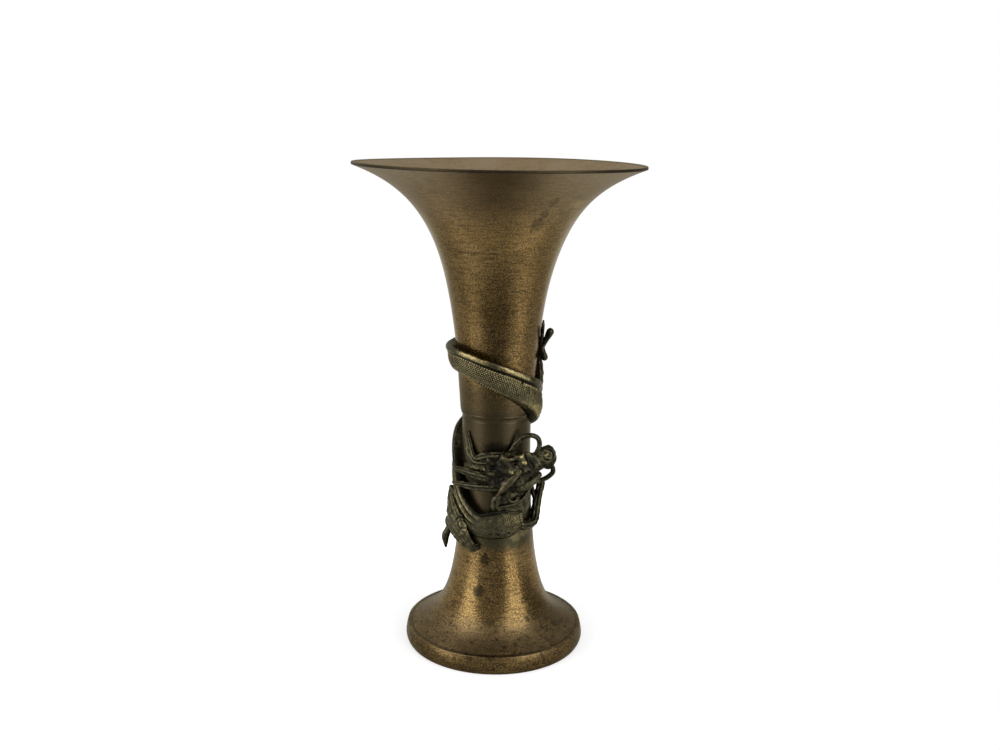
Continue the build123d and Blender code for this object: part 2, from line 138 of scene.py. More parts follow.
# Grid columns between neighbouring points of the section
SECTION_STEPS = (3, 12, 30, 24, 7, 8, 7, 6, 4, 4)
BODY_PIECES = {
    "tail": (-235, -100), "upper_coil": (-100, 90), "back_coil": (90, 262), "lower_coil": (262, 398),
}
# Fixing pins: (angle, distance across the body)
PIN_PLACES = [
    (-84, 0.0), (29, 3.2), (196, -1.0), (240, -1.0), (275, 0.0), (362, -6.0), (376, -6.2),
]
PIN_RADIUS = 0.8

# Limbs, each a list of (angle, rise above the waist joint, stand, half width, half depth)
HEAD_LINE = [
    (-14, -36.5, 2.8, 6.5, 3.4), (-6, -36.0, 4.2, 11.0, 5.4), (10, -34.4, 5.4, 13.2, 6.4),
    (28, -31.9, 6.6, 12.6, 6.8), (41, -29.7, 8.6, 8.5, 6.0), (51, -27.8, 10.8, 6.0, 5.0),
    (59, -26.4, 13.4, 7.2, 5.6), (65, -26.2, 15.8, 7.4, 4.8), (69, -26.2, 17.6, 5.0, 2.6),
]
JAW_LINE = [
    (22, -43.0, 7.0, 3.4, 4.0), (34, -42.0, 8.5, 3.2, 4.0), (45, -38.5, 10.5, 2.6, 3.2),
    (53, -34.8, 12.5, 1.8, 2.2),
]
NECK_LINE = [
    (38, -66.0, 1.6, 12.0, 2.6), (30, -57.0, 2.2, 14.2, 3.2), (22, -49.0, 2.8, 13.8, 3.6),
    (18, -43.0, 3.6, 10.0, 3.8),
]
SPIKE_LINE = [
    (26, -30.0, 13.0, 1.4, 1.2), (16, -36.5, 12.4, 2.2, 1.7), (7, -42.5, 10.6, 1.9, 1.5),
    (1, -47.5, 8.6, 0.7, 0.6),
]
UPPER_WHISKER_LINE = [
    (49, -24.0, 10.4, 1.6, 1.6), (53.5, -18.4, 11.4, 1.5, 1.5), (52.5, -14.0, 10.8, 1.5, 1.5),
    (46, -11.6, 8.6, 1.5, 1.5), (38, -13.0, 5.0, 1.5, 1.5), (29, -17.2, 2.6, 1.4, 1.4),
    (20, -22.0, 2.0, 0.9, 0.9),
]
LOWER_WHISKER_LINE = [
    (56, -29.5, 13.6, 1.5, 1.5), (62, -31.6, 16.8, 1.5, 1.5), (64.5, -35.8, 17.0, 1.5, 1.5),
    (62, -39.4, 13.8, 1.5, 1.5), (57, -41.2, 10.2, 1.4, 1.4), (50, -42.6, 7.6, 1.4, 1.4),
    (45, -46.6, 6.2, 1.3, 1.3), (37, -50.8, 6.2, 1.3, 1.3), (24, -53.2, 6.4, 1.3, 1.3),
    (10, -54.6, 6.4, 1.1, 1.1), (3, -55.6, 6.2, 0.7, 0.7),
]
UPPER_HORN_LINE = [
    (20, -37.4, 8.5, 2.2, 1.5), (-7, -36.4, 7.6, 2.3, 1.4), (-26, -35.2, 7.2, 2.2, 1.3),
    (-48, -34.2, 7.2, 1.8, 1.1), (-64, -35.4, 7.8, 0.7, 0.6),
]
LOWER_HORN_LINE = [
    (8, -42.2, 8.5, 2.0, 1.5), (-19, -42.6, 7.6, 2.2, 1.4), (-40, -42.8, 7.8, 1.8, 1.2),
    (-62, -43.8, 8.2, 0.7, 0.6),
]
MANE_LINES = [
    [(8, -36.0, 1.5, 10.0, 2.5), (-12, -35.5, 1.5, 10.5, 2.6), (-30, -34.5, 1.4, 10.0, 2.4),
     (-46, -33.0, 1.2, 8.0, 2.0), (-56, -31.0, 0.8, 3.5, 1.2)],
    [(0, -27.5, 4.0, 2.0, 2.0), (-16, -28.4, 4.2, 2.2, 2.0), (-30, -28.0, 4.0, 2.6, 2.2),
     (-41, -24.0, 3.0, 3.0, 1.9), (-47, -18.5, 2.0, 2.6, 1.5), (-52, -11.4, 1.2, 0.6, 0.6)],
    [(14, -24.0, 4.2, 2.8, 2.4), (-6, -23.8, 4.6, 3.0, 2.6), (-22, -25.4, 4.2, 2.6, 2.2),
     (-33, -28.5, 3.2, 1.0, 1.0)],
    [(2, -38.0, 3.5, 1.8, 1.6), (-15, -36.5, 3.6, 2.0, 1.7), (-30, -36.0, 3.4, 1.6, 1.4),
     (-44, -37.5, 3.2, 0.6, 0.6)],
]
HIND_LEG_RIGHT_LINE = [
    (96, 8.0, 2.5, 4.5, 2.6), (98, 15.0, 2.8, 4.2, 2.4), (99, 22.5, 2.8, 3.4, 2.1),
    (99, 29.0, 2.0, 2.4, 1.7), (97, 34.5, 0.9, 1.2, 1.0),
]
HIND_TOES_RIGHT = [
    [(97, 33.0, 1.6, 1.6, 1.5), (96, 38.0, 2.0, 1.9, 1.7), (95, 45.0, 1.6, 1.3, 1.2),
     (94.5, 51.0, 1.4, 1.2, 1.0), (95, 55.0, 1.1, 0.5, 0.5)],
    [(96, 37.0, 2.0, 1.7, 1.6), (93, 43.0, 4.2, 1.8, 1.7), (91, 47.5, 5.8, 2.6, 2.3),
     (90, 50.2, 6.4, 2.2, 2.0)],
    [(96, 39.0, 2.0, 1.8, 1.7), (94, 35.0, 3.2, 1.9, 1.8), (92, 31.8, 4.4, 2.3, 2.1),
     (91.5, 29.8, 4.6, 1.6, 1.5)],
]
HIND_LEG_LEFT_LINE = [
    (138, -7.0, 2.5, 4.2, 2.4), (142, -15.0, 2.8, 3.8, 2.3), (147, -22.0, 2.4, 2.8, 1.8),
    (150, -27.0, 1.4, 1.4, 1.1),
]
HIND_TOES_LEFT = [
    [(149, -25.0, 1.6, 1.6, 1.4), (150, -30.0, 2.0, 1.7, 1.5), (146, -35.0, 1.9, 1.3, 1.2),
     (142, -39.0, 1.4, 0.5, 0.5)],
    [(150, -29.0, 2.0, 1.7, 1.5), (152, -35.0, 2.8, 1.5, 1.4), (153, -41.0, 2.2, 0.6, 0.6)],
    [(150, -29.0, 2.0, 1.6, 1.5), (158, -32.0, 3.0, 1.5, 1.4), (165, -34.5, 2.6, 0.6, 0.6)],
]
FORELEG_LEFT_LINE = [
    (-82, -49.0, 6.0, 1.4, 1.4), (-76, -56.5, 4.8, 5.2, 3.4), (-65, -65.5, 5.0, 8.2, 4.0),
    (-51, -73.5, 5.0, 7.4, 3.8), (-38, -80.0, 3.8, 3.6, 2.8), (-29, -82.8, 3.2, 2.4, 2.2),
    (-23, -81.4, 2.6, 1.2, 1.2),
]
FORE_TOES_LEFT = [
    [(-79, -73.0, 4.0, 2.0, 2.0), (-81, -78.5, 6.0, 2.2, 2.2), (-81, -82.5, 7.3, 2.4, 2.5),
     (-80, -86.5, 6.9, 1.6, 1.6), (-78.5, -90.0, 6.4, 0.6, 0.6)],
    [(-80, -75.5, 5.0, 1.8, 1.8), (-83, -74.5, 6.6, 1.6, 1.6), (-84, -71.5, 6.8, 1.4, 1.4),
     (-83, -69.5, 6.0, 0.8, 0.8)],
]
FORELEG_RIGHT_LINE = [
    (34, -69.0, 2.5, 2.8, 2.4), (52, -70.4, 2.6, 2.8, 2.4), (68, -70.6, 2.6, 2.6, 2.3),
    (79, -67.4, 2.6, 2.9, 2.6), (84, -61.0, 3.4, 2.9, 2.6), (85, -54.0, 4.9, 2.8, 2.5),
    (85, -48.0, 6.6, 2.4, 2.2), (85, -45.0, 7.2, 1.2, 1.2),
]
FORE_TOES_RIGHT = [
    [(85, -60.0, 3.2, 1.6, 1.5), (82, -54.0, 1.6, 1.7, 1.5), (80, -48.5, 1.0, 1.2, 1.0)],
    [(85, -47.5, 6.8, 1.1, 1.1), (84, -43.0, 5.4, 0.5, 0.5)],
]
CURL_CENTRE = (21, -48.0, 7.3)
CURL_RADIUS = 3.6
CURL_ROD = 1.3
CURL_START = 60
CURL_TURN = 300
CURL_PLACES = 11
EYE_PLACE = (30, -26.0)
EYE_STANDS = (2.2, 12.9)
EYE_RADIUS = 1.8
EYE_WEAR = 0.8
# Grid of an eye, and the polar angle of its first row
EYE_ROWS, EYE_COLUMNS = 18, 28
EYE_POLE = 0.06
# Half width from which a limb takes its full hair lines, and the height of its lumps
FULL_HAIR_WIDTH = 2.5
LUMP_HEIGHT = 0.06
# Shares of a limb's length at its first and last grid rows, and the least length of a rounded end
LIMB_ROW_ENDS = (0.02, 0.98)
LEAST_END = 0.3
# Wear of carving at its middle level, how much lighter the outer side of a limb is made, and what dirt
# takes off it
CARVED_WEAR = 0.42
FACING_LIFT = 0.1
LIMB_DIRT = 0.14
# Cosines to the outward line at which a side starts to face outwards and at which it does so fully
FACING_ENDS = (-0.1, 0.35)
# Half width of a spiral's groove as a share of its pitch
SPIRAL_WIDTH = 0.17
# Degrees between the points at which the body's line is measured, and over which its slope is taken
LINE_STEP = 0.25
SLOPE_STEP = 0.5
# Fixing pins: depth of the root in the wall, and height of the domed head
PIN_ROOT = 1.5
PIN_DOME = 0.35
# Where the dome starts, as a share of the body's stand less a depth, then the share of it that has rows
PIN_TOP_SHARE, PIN_SINK = 0.7, 0.8
PIN_DOME_SHARE = 0.95
PIN_DOME_ROWS, PIN_COLUMNS = 6, 16

# Carving of the body: angles at which a zone starts and is full, and at which it fades and is gone
BROAD_BELLY_ZONE = (50, 70, 150, 190)
STEEP_ZONE = (258, 275, 322, 340)
LOWER_ZONE = (250, 275)
SHOULDER_ZONE = (368, 374)
# In these zones the back line and the dots carry a painted highlight, dulled about a place near the front
SHINY_BEAD_ZONE = (-54, -42, 30, 42)
DULL_BEAD_PLACE, DULL_BEAD_REACH = -7, 9
BRIGHT_DOT_ZONE = (-2, 12, 34, 46)
# The same across the body, as shares of the flank from the belly edge to the back bead
SCALE_START, SCALE_END = (0.16, 0.26), (0.88, 0.96)
BELLY_END = (0.14, 0.2)
BROAD_BELLY_SHARE = 0.2
CORD_ZONE = (0.3, 0.5, 0.9, 1.0)
COMB_START, COMB_END = (0.4, 0.55), (0.9, 0.96)
DARK_EDGE_ZONE = (0.04, 0.13)
DOT_ROW, DOT_SPREAD = 0.91, 0.045
GROOVE_ROW, GROOVE_SPREAD = 0.99, 0.03
BEAD_EDGE = 1.25
CLEAR_ZONE = (0.2, 0.75)
# Across the back bead, from its foot to its outer edge, and heights off the wall at which carving comes in
BEAD_START = (0.0, 0.2)
LINE_ROW, LINE_SPREAD = 0.62, 0.34
OUTSIDE_ENDS = (-0.6, 0.6)
# Values of the scales' lattice at a scale's foot and on its flat top
SCALE_SLOPE = (0.0, 0.9)
# Heights, depths and pitches of that carving, in millimetres
PLATE_HEIGHT = 0.32
CORD_HEIGHT = 0.4
CORD_COUNT = 3.5
COMB_HEIGHT = 0.25
COMB_PITCH = 1.25
DOT_HEIGHT = 0.45
DOT_PITCH = 1.6
GROOVE_DEPTH = 0.4
BEAD_EDGE_DEPTH = 0.15
PIT_DEPTH = 1.0
# Shares of that carving that are lost on the lower coil and on the steep run
LOWER_SMOOTHING, STEEP_SMOOTHING = 0.7, 0.85
# Wear of the body: its level, and the contrast of the scales, each with what is lost on the lower coil;
# then the shares of that contrast that are lost on the steep run and near the belly
BODY_WEAR, LOWER_DARKENING = 0.58, 0.1
SCALE_CONTRAST, LOWER_LOSS = 0.8, 0.45
STEEP_LOSS, BELLY_LOSS = 0.8, 0.5
# What the other carving adds to the wear, plus painted highlight in the shiny zones, and what dirt and a
# darker belly edge take off
PLATE_CONTRAST, BROAD_BELLY_SHINE, BELLY_EDGE_DARKENING = 0.5, 1.2, 4.0
LINE_WEAR, LINE_SHINE, DULL_BEAD_SHARE = 0.28, 0.4, 0.8
BEAD_DIRT, GROOVE_DIRT = 0.34, 0.5
DOT_WEAR, DOT_SHINE, DOT_ROW_DIRT = 0.8, 0.9, 0.25
CORD_WEAR, COMB_WEAR = 0.2, 0.2

# Bumps on the outer side of the head, then brass wear on the nose and wear with a painted highlight on the
# thigh, as (angle, rise above the waist joint, length, width, turn, height)
HEAD_BUMPS = [
    (27, -22.6, 3.0, 1.9, 10, 2.0), (13, -23.6, 3.0, 1.4, -5, 1.6), (20, -25.6, 3.0, 1.3, 5, -2.0),
    (36, -26.5, 2.6, 2.4, 0, -1.2), (38, -21.8, 3.4, 1.3, -25, 1.2), (34, -33.5, 5.0, 1.1, 14, -1.8),
    (46, -30.8, 5.0, 0.9, 14, -1.5), (44, -27.6, 3.0, 1.5, 0, 1.0), (55, -22.8, 2.4, 2.0, 0, 0.7),
    (16, -31.4, 2.2, 1.5, 40, 1.9), (10, -38.6, 2.4, 1.5, 40, 1.8), (5, -34.6, 3.0, 1.1, 30, -1.6),
    (-9, -25.4, 2.0, 1.4, 0, 1.5), (5, -19.6, 3.4, 1.2, 0, 1.2), (-2, -28.8, 4.0, 1.0, 0, -1.5),
    (1, -23.2, 1.4, 2.0, 0, -1.2), (22, -35.6, 3.6, 1.0, 30, -1.4), (27, -39.0, 2.6, 1.4, 20, 1.2),
    (-6, -32.5, 2.6, 1.3, 15, 1.3), (-2, -40.8, 2.8, 1.1, 20, 1.2), (15, -42.5, 3.0, 1.0, 20, -1.2),
]
NOSE_WEAR = (53, -23.8, 4.2, 4.2, 0, 0.36)
THIGH_RUB_AND_SHINE = (-34, -71.3, 4.5, 3.0, -30, 0.3)
# Spirals of the nostril and of the thigh's whorl, as (angle, rise, reach, pitch)
NOSTRIL = (54, -23.5, 5.0, 2.4)
WHORL = (-42, -67.8, 6.0, 2.4)
NOSTRIL_DEPTH, WHORL_DEPTH = 0.8, 0.5
# Lumps of the head as (height, size), its dirt, and how much darker it is made towards the nape, between
# two angles
HEAD_LUMPS = (0.45, 4.2)
HEAD_DIRT, NAPE_DARKENING = 0.13, 0.16
NAPE_ZONE = (12, -4)
# Thigh: distances along the leg at which its hair starts and is full, and heights of hair, whorl and lumps
THIGH_HAIR_START = (2, 9)
THIGH_HAIR, THIGH_SWELL, THIGH_LUMPS = 0.3, 0.3, 0.15
# Directions of the waves that make the casting uneven, and how each is longer and shifted against the last
LUMP_WAYS = ((1, 0.3, 0.5), (-0.6, 0.8, 0.7), (0.2, -0.5, 1), (0.9, 0.4, -0.8), (-0.3, 1, 0.4))
LUMP_GROWTH = 0.17
LUMP_SHIFT = 1.7

# Wear of the vessel's rows, which its finish reads: dark edge, plain wall, dusty inside, and the lip's
DARK_EDGE, PLAIN, DUSTY = 0.0, 0.5, 1.0
LIP_WEAR = [0.1, 0.0, 0.0, 0.3, 0.5, 0.6]
BEAD_WEAR, RING_INSIDE_WEAR = 0.6, 0.1
STEP_WEAR = [0.4, 0.15]
# Zones of the vessel's finish: heights in metres at which each starts and is full
FINISH_ZONES = {
    "foot": (0.075, 0.05), "trumpet": (0.19, 0.25), "waist": (0.15, 0.158), "under_lip": (0.258, 0.288),
    "dusty_foot": (0.03, 0.016), "above_band": (0.0085, 0.0125), "pitted": (0.034, 0.018),
    "dark_foot": (0.026, 0.014),
}
# Dirt and painted shade on the stem round the dragon: heights in metres where they start and are full, at
# top and bottom
SHADE_AND_GRIME_TOP = (0.178, 0.16)
SHADE_AND_GRIME_BOTTOM = (0.06, 0.078)
# Shares that the vessel's finish reaches where it is full
STROKE_SHARE = 0.65
GRAIN_SHARE = 0.85
FLECK_SHARE = 0.55
# Under the lip the dust also stands for a painted sheen
LIP_DUST_AND_SHEEN_SHARE = 0.35
FOOT_DUST_SHARE = 0.3
PIT_SHARE = 0.6
EDGE_SHARE = 0.85
# Noise at which each part of that finish starts and is full, and the same for the wear
CLOUD_ENDS, STROKE_ENDS, GRAIN_ENDS, PIT_ENDS = (0.36, 0.66), (0.5, 0.42), (0.5, 0.43), (0.4, 0.37)
EDGE_ENDS, DUST_ENDS = (0.42, DARK_EDGE), (0.6, 0.9)
# The dragon's finish: the value of wear and painted highlight at which dirt gives way to bronze and bronze
# to brass, noise of its patches and specks, and the shares that they reach
BARE_ENDS, BRASS_ENDS, PATCH_ENDS, SPECK_ENDS = (0.2, 0.55), (0.55, 0.85), (0.52, 0.72), (0.48, 0.3)
BRASS_SHARE, PATCH_SHARE, SPECK_SHARE = 0.9, 0.45, 0.6
# Roughness as (share of the grain, what is added), and what dust, stem dirt with painted shade and patina
# add to the vessel's
VESSEL_ROUGHNESS, DRAGON_ROUGHNESS = (0.3, 0.11), (0.3, 0.2)
LIP_MATT, FOOT_MATT, SHADE_AND_GRIME_MATT, DUST_MATT = 0.2, 0.14, 0.12, 0.3
# Stains on the vessel, and a painted shadow on the wall above the head: (angle, height, radius, stretch in
# x y z, kind)
STAINS = [
    (27.5, 268, 4.4, (1, 1, 0.8), "smear"), (29.5, 274, 3.4, (1.2, 1.2, 0.7), "smear"),
    (32, 281, 3.8, (1.2, 1.2, 0.7), "smear"), (54, 279, 5, (0.8, 0.8, 2.2), "bright"),
    (-28, 251, 1.5, (0.07, 0.07, 2.4), "smear"), (-14, 61, 2.8, (1.1, 1.1, 0.7), "dark"),
    (-20, 41, 3.4, (1, 1, 0.8), "dark"), (-4, 24, 3.0, (0.7, 0.7, 1.4), "smear"),
    (8, 73, 6.5, (0.3, 0.3, 1.0), "patina"), (62, 17, 2.5, (1, 1, 1), "patina"),
    (35, 24, 1.6, (1, 1, 1), "dark"), (-50, 30, 3.0, (1, 1, 1), "smear"),
    # The dark spot at angle -2 and height 131 is a painted shadow on the wall above the head
    (-2, 131, 6.5, (0.75, 0.75, 1.5), "dark"), (52, 79, 5.5, (0.8, 0.8, 1.0), "olive"),
    (34, 74, 3.5, (0.8, 0.8, 1.2), "olive"),
]
# Colour of each kind of stain, and the share of it at the stain's middle
STAIN_KINDS = {
    "dark": ("dragon_dark", 0.75), "smear": ("dragon_dark", 0.48), "bright": ("vessel_bright", 0.35),
    "patina": ("patina", 0.75), "olive": ("dragon_ridge", 0.24),
}
# Tint that each bronze takes at glancing angles
VESSEL_GLANCE = (0.87, 0.84, 0.74, 1)
DRAGON_GLANCE = (0.88, 0.84, 0.72, 1)

# Softboxes: (side, azimuth and elevation in degrees, distance and size in metres, seen in the bronze)
SOFTBOXES = [
    ("left", -58, 21, 1.0, (0.62, 1.3), True), ("right", 48, 21, 1.0, (0.7, 1.4), True),
    ("top", 0, 89, 1.2, (0.9, 0.9), False),
]
LIGHT_TARGET = (0, 0, 0.15)
SENSOR_WIDTH = 36.0
# Floor: radii of its rings in metres, and its grey
FLOOR_RINGS = (0.02, 0.06, 0.12, 0.2, 0.3)
FLOOR_COLUMNS = 96
FLOOR_GREY = (0.4, 0.4, 0.4, 1)
WHITE = (1, 1, 1, 1)
# Light of the surroundings on matt surfaces
PLAIN_LIGHT = 0.55


class VaseSizes(bpy.types.PropertyGroup):
    """Sizes of the vessel."""

    height: FloatProperty(
        name="Height", description="From the foot to the rim", unit="LENGTH",
        default=CAD_BOX[1].z - CAD_BOX[0].z)
    mouth_radius: FloatProperty(
        name="Mouth radius", description="Outer radius of the lip", unit="LENGTH", default=0.087)
    neck_radius: FloatProperty(
        name="Neck radius", description="Radius of the trumpet at the waist", unit="LENGTH",
        default=0.0223)
    stem_radius: FloatProperty(
        name="Stem radius", description="Radius that the lower stem tends to", unit="LENGTH",
        default=0.0206)
    foot_radius: FloatProperty(
        name="Foot radius", description="Radius of the foot where it stands", unit="LENGTH",
        default=0.055)
    unevenness: FloatProperty(
        name="Unevenness", description="How far the hand-finished wall strays from round",
        unit="LENGTH", default=0.00012)
    columns: IntProperty(
        name="Columns", description="Grid columns round the vessel", default=240, min=48)


class DragonSizes(bpy.types.PropertyGroup):
    """Sizes of the dragon's carving."""

    scale_pitch: FloatProperty(
        name="Scale pitch", description="Length of one scale along the body", unit="LENGTH",
        default=0.0017)
    scale_height: FloatProperty(
        name="Scale height", description="How far a scale stands up", unit="LENGTH", default=0.0003)
    plate_pitch: FloatProperty(
        name="Belly plate pitch", description="Length of one belly plate", unit="LENGTH",
        default=0.0018)
    hair_depth: FloatProperty(
        name="Hair depth", description="Depth of the hair lines on legs and mane", unit="LENGTH",
        default=0.00035)
    row_step: FloatProperty(
        name="Row step", description="Distance between grid rows along the body", unit="LENGTH",
        default=0.0003)


class BronzeColours(bpy.types.PropertyGroup):
    """Colours of the bronze."""

    vessel: FloatVectorProperty(
        name="Vessel", description="Body colour of the vessel", subtype="COLOR", size=4,
        min=0, max=1, default=(0.215, 0.138, 0.052, 1))
    vessel_brown: FloatVectorProperty(
        name="Vessel brown", description="Browner clouds in the bronze", subtype="COLOR", size=4,
        min=0, max=1, default=(0.15, 0.091, 0.032, 1))
    # Colour of the dirt and painted shade on the stem round the dragon
    grime: FloatVectorProperty(
        name="Grime", description="Grime on the stem round the dragon", subtype="COLOR", size=4,
        min=0, max=1, default=(0.054, 0.043, 0.024, 1))
    dust: FloatVectorProperty(
        name="Dust", description="Dusty bronze inside the mouth", subtype="COLOR", size=4,
        min=0, max=1, default=(0.175, 0.134, 0.084, 1))
    vessel_dark: FloatVectorProperty(
        name="Vessel dark", description="Darkened bronze", subtype="COLOR", size=4,
        min=0, max=1, default=(0.048, 0.033, 0.016, 1))
    vessel_bright: FloatVectorProperty(
        name="Vessel bright", description="Bare grains in the bronze", subtype="COLOR", size=4,
        min=0, max=1, default=(0.38, 0.25, 0.092, 1))
    dragon: FloatVectorProperty(
        name="Dragon", description="Body colour of the dragon", subtype="COLOR", size=4,
        min=0, max=1, default=(0.08, 0.071, 0.04, 1))
    # Also the colour of the painted shadow on the wall above the head
    dragon_dark: FloatVectorProperty(
        name="Dragon dark", description="Dirt in the carving", subtype="COLOR", size=4,
        min=0, max=1, default=(0.017, 0.016, 0.011, 1))
    # Brass of the ridges where wear has bared it, and of the painted highlights on body, cheek spikes and
    # thigh
    dragon_ridge: FloatVectorProperty(
        name="Dragon ridge", description="Rubbed brass on the ridges", subtype="COLOR", size=4,
        min=0, max=1, default=(0.34, 0.275, 0.125, 1))
    patina: FloatVectorProperty(
        name="Patina", description="Green patina in patches", subtype="COLOR", size=4,
        min=0, max=1, default=(0.034, 0.034, 0.018, 1))


class StageSettings(bpy.types.PropertyGroup):
    """Camera and light."""

    distance: FloatProperty(
        name="Camera distance", description="From the vase's axis, in plan", unit="LENGTH",
        default=0.6613)
    eye_height: FloatProperty(
        name="Camera height", description="Above the floor", unit="LENGTH", default=0.3275)
    pitch: FloatProperty(
        name="Camera pitch", description="Downward tilt", subtype="ANGLE", default=0.2309)
    roll: FloatProperty(
        name="Camera roll", description="Turn about the line of sight", subtype="ANGLE",
        default=0.0127)
    lens: FloatProperty(
        name="Lens", description="Focal length in millimetres", default=39.85)
    shift: FloatProperty(
        name="Shift", description="Sideways shift of the frame, in image widths", default=0.003)
    left_power: FloatProperty(
        name="Left light", description="Power of the left softbox", unit="POWER", default=5.9)
    right_power: FloatProperty(
        name="Right light", description="Power of the right softbox", unit="POWER", default=7.6)
    top_power: FloatProperty(
        name="Top light", description="Power of the overhead light", unit="POWER", default=9.0)


def smooth_knots(knots, place):
    """A cubic through rows (place, values...), whose slope at a row is that of its neighbours."""
    knots = np.asarray(knots, float)
    x, y = knots[:, 0], knots[:, 1:]
    last = len(x) - 1
    before = np.maximum(np.arange(last + 1) - 1, 0)
    after = np.minimum(np.arange(last + 1) + 1, last)
    slope = (y[after] - y[before]) / (x[after] - x[before])[:, None]
    place = np.asarray(place, float)
    i = np.clip(np.searchsorted(x, place) - 1, 0, last - 1)
    span = (x[i + 1] - x[i])[:, None]
    t = (place[:, None] - x[i][:, None]) / span
    bend = t * t * (3 - 2 * t)
    lead = t * (1 - t) ** 2 * span * slope[i]
    trail = t * t * (t - 1) * span * slope[i + 1]
    return y[i] * (1 - bend) + y[i + 1] * bend + lead + trail


def step_between(low, high, value):
    """A smooth step from 0 at low to 1 at high."""
    t = np.clip((value - low) / (high - low), 0, 1)
    return t * t * (3 - 2 * t)


def unit(vectors):
    """Vectors divided by their lengths."""
    return vectors / np.maximum(np.linalg.norm(vectors, axis=-1, keepdims=True), 1e-12)


def outward(angle):
    """Unit vectors away from the axis at angles in degrees: (sin a, -cos a, 0)."""
    turn = np.radians(angle)
    return np.stack([np.sin(turn), -np.cos(turn), np.zeros_like(turn)], axis=-1)


def around(angle):
    """Unit vectors along the wall towards greater angles: (cos a, sin a, 0)."""
    turn = np.radians(angle)
    return np.stack([np.cos(turn), np.sin(turn), np.zeros_like(turn)], axis=-1)


class Vessel:
    """Outlines of the vessel in millimetres, from the sizes in the panel."""

    def __init__(self, sizes):
        self.height = sizes.height / MM
        self.mouth = sizes.mouth_radius / MM
        self.neck = sizes.neck_radius / MM
        self.stem = sizes.stem_radius / MM
        self.foot = sizes.foot_radius / MM
        self.uneven = sizes.unevenness / MM
        self.columns = sizes.columns
        self.rim = self.height - LIP_WALL

    def trumpet(self, z):
        """Neck radius plus a slow taper, a gentle power flare and a sharp power flare at the lip."""
        run = self.rim - JOINT_HEIGHT
        share = np.clip((z - JOINT_HEIGHT) / run, 0, 1)
        lip_flare = self.mouth - LIP_ROUND - self.neck - NECK_TAPER * run - GENTLE_FLARE
        taper = self.neck + NECK_TAPER * (z - JOINT_HEIGHT)
        return taper + GENTLE_FLARE * share**GENTLE_POWER + lip_flare * share**LIP_POWER

    def bell(self, z):
        """Stem radius plus a slow and a fast exponential flare down to the foot."""
        rise = z - BAND_HEIGHT
        fast_flare = BELL_RADIUS - self.stem - BELL_SLOW_FLARE
        slow = BELL_SLOW_FLARE * np.exp(-rise / BELL_SLOW_LENGTH)
        return self.stem + slow + fast_flare * np.exp(-rise / BELL_FAST_LENGTH)

    def wall(self, z):
        """Outer radius at a height: trumpet, bead, band or bell."""
        low = np.where(z >= JOINT_HEIGHT - RING_HEIGHT, RING_BAND_RADIUS, self.bell(z))
        waist = np.where(z >= JOINT_HEIGHT - RING_BEAD_HEIGHT, RING_BEAD_RADIUS, low)
        return np.where(z >= JOINT_HEIGHT, self.trumpet(z), waist)

    def on_wall(self, angle, rise, stand):
        """Points that stand off the wall at angles and heights above the waist joint."""
        z = JOINT_HEIGHT + rise
        points = outward(angle) * (self.wall(z) + stand)[..., None]
        points[..., 2] = z
        return points

    def turned(self, profile):
        """Revolves (radius, height) rows: (r sin a, -r cos a, z + rim wave), r a little out of round."""
        profile = np.asarray(profile, float)
        turn = np.linspace(0, 2 * np.pi, self.columns, endpoint=False)
        r, z = profile[:, :1], profile[:, 1:]
        stray = sum(share * np.sin(count * turn + z / shift) for count, shift, share in WALL_WAVES)
        fade = step_between(*WALL_WAVE_START, z) * np.minimum(r / WALL_WAVE_RADIUS, 1)
        r = r + self.uneven * stray * fade
        wave = RIM_WAVES[0] + sum(
            RIM_WAVES[2 * k - 1] * np.cos(k * turn) + RIM_WAVES[2 * k] * np.sin(k * turn)
            for k in (1, 2, 3))
        lift = wave * step_between(self.height - RIM_WAVE_REACH, self.height, z) ** 2
        return np.stack([r * np.sin(turn), -r * np.cos(turn), z + lift], axis=-1)


def inset(outline, z, depth):
    """Points at a depth below an outline, square to it, as (radius, height) rows."""
    reach = 0.01
    slope = (outline(z + reach) - outline(z - reach)) / (2 * reach)
    length = np.hypot(1.0, slope)
    return np.stack([outline(z) - depth / length, z + depth * slope / length], axis=-1)


def grid_normals(points):
    """Outward normals of a grid that is closed across its columns, from its neighbours' differences."""
    along = np.gradient(points, axis=0)
    across = np.roll(points, -1, axis=1) - np.roll(points, 1, axis=1)
    normals = unit(np.cross(across, along))
    away = points - points.mean(axis=1, keepdims=True)
    return normals * np.sign((normals * away).sum() + 1e-9)


def grid_faces(points, closed_rows, offset):
    """Vertices, quads and end triangles of a grid; open ends are closed by a fan to their mean point."""
    rows, columns = points.shape[:2]
    index = np.arange(rows * columns).reshape(rows, columns)
    ring = np.concatenate([index, index[:1]]) if closed_rows else index
    right = np.roll(ring, -1, axis=1)
    quads = np.stack([ring[:-1], right[:-1], right[1:], ring[1:]], axis=-1).reshape(-1, 4)
    vertices = points.reshape(-1, 3)
    fans = np.zeros((0, 3), int)
    if not closed_rows:
        poles = np.stack([points[0].mean(axis=0), points[-1].mean(axis=0)])
        vertices = np.concatenate([vertices, poles])
        first, last = index[0], index[-1]
        pole = np.full(columns, rows * columns)
        start = np.stack([pole, np.roll(first, -1), first], axis=-1)
        end = np.stack([pole + 1, last, np.roll(last, -1)], axis=-1)
        fans = np.concatenate([start, end])
    triangles = np.concatenate([quads[:, [0, 1, 2]], quads[:, [0, 2, 3]], fans])
    a, b, c = (vertices[triangles[:, k]] for k in range(3))
    if (np.cross(a, b) * c).sum() < 0:
        quads, fans = quads[:, ::-1], fans[:, ::-1]
    return vertices, quads + offset, fans + offset


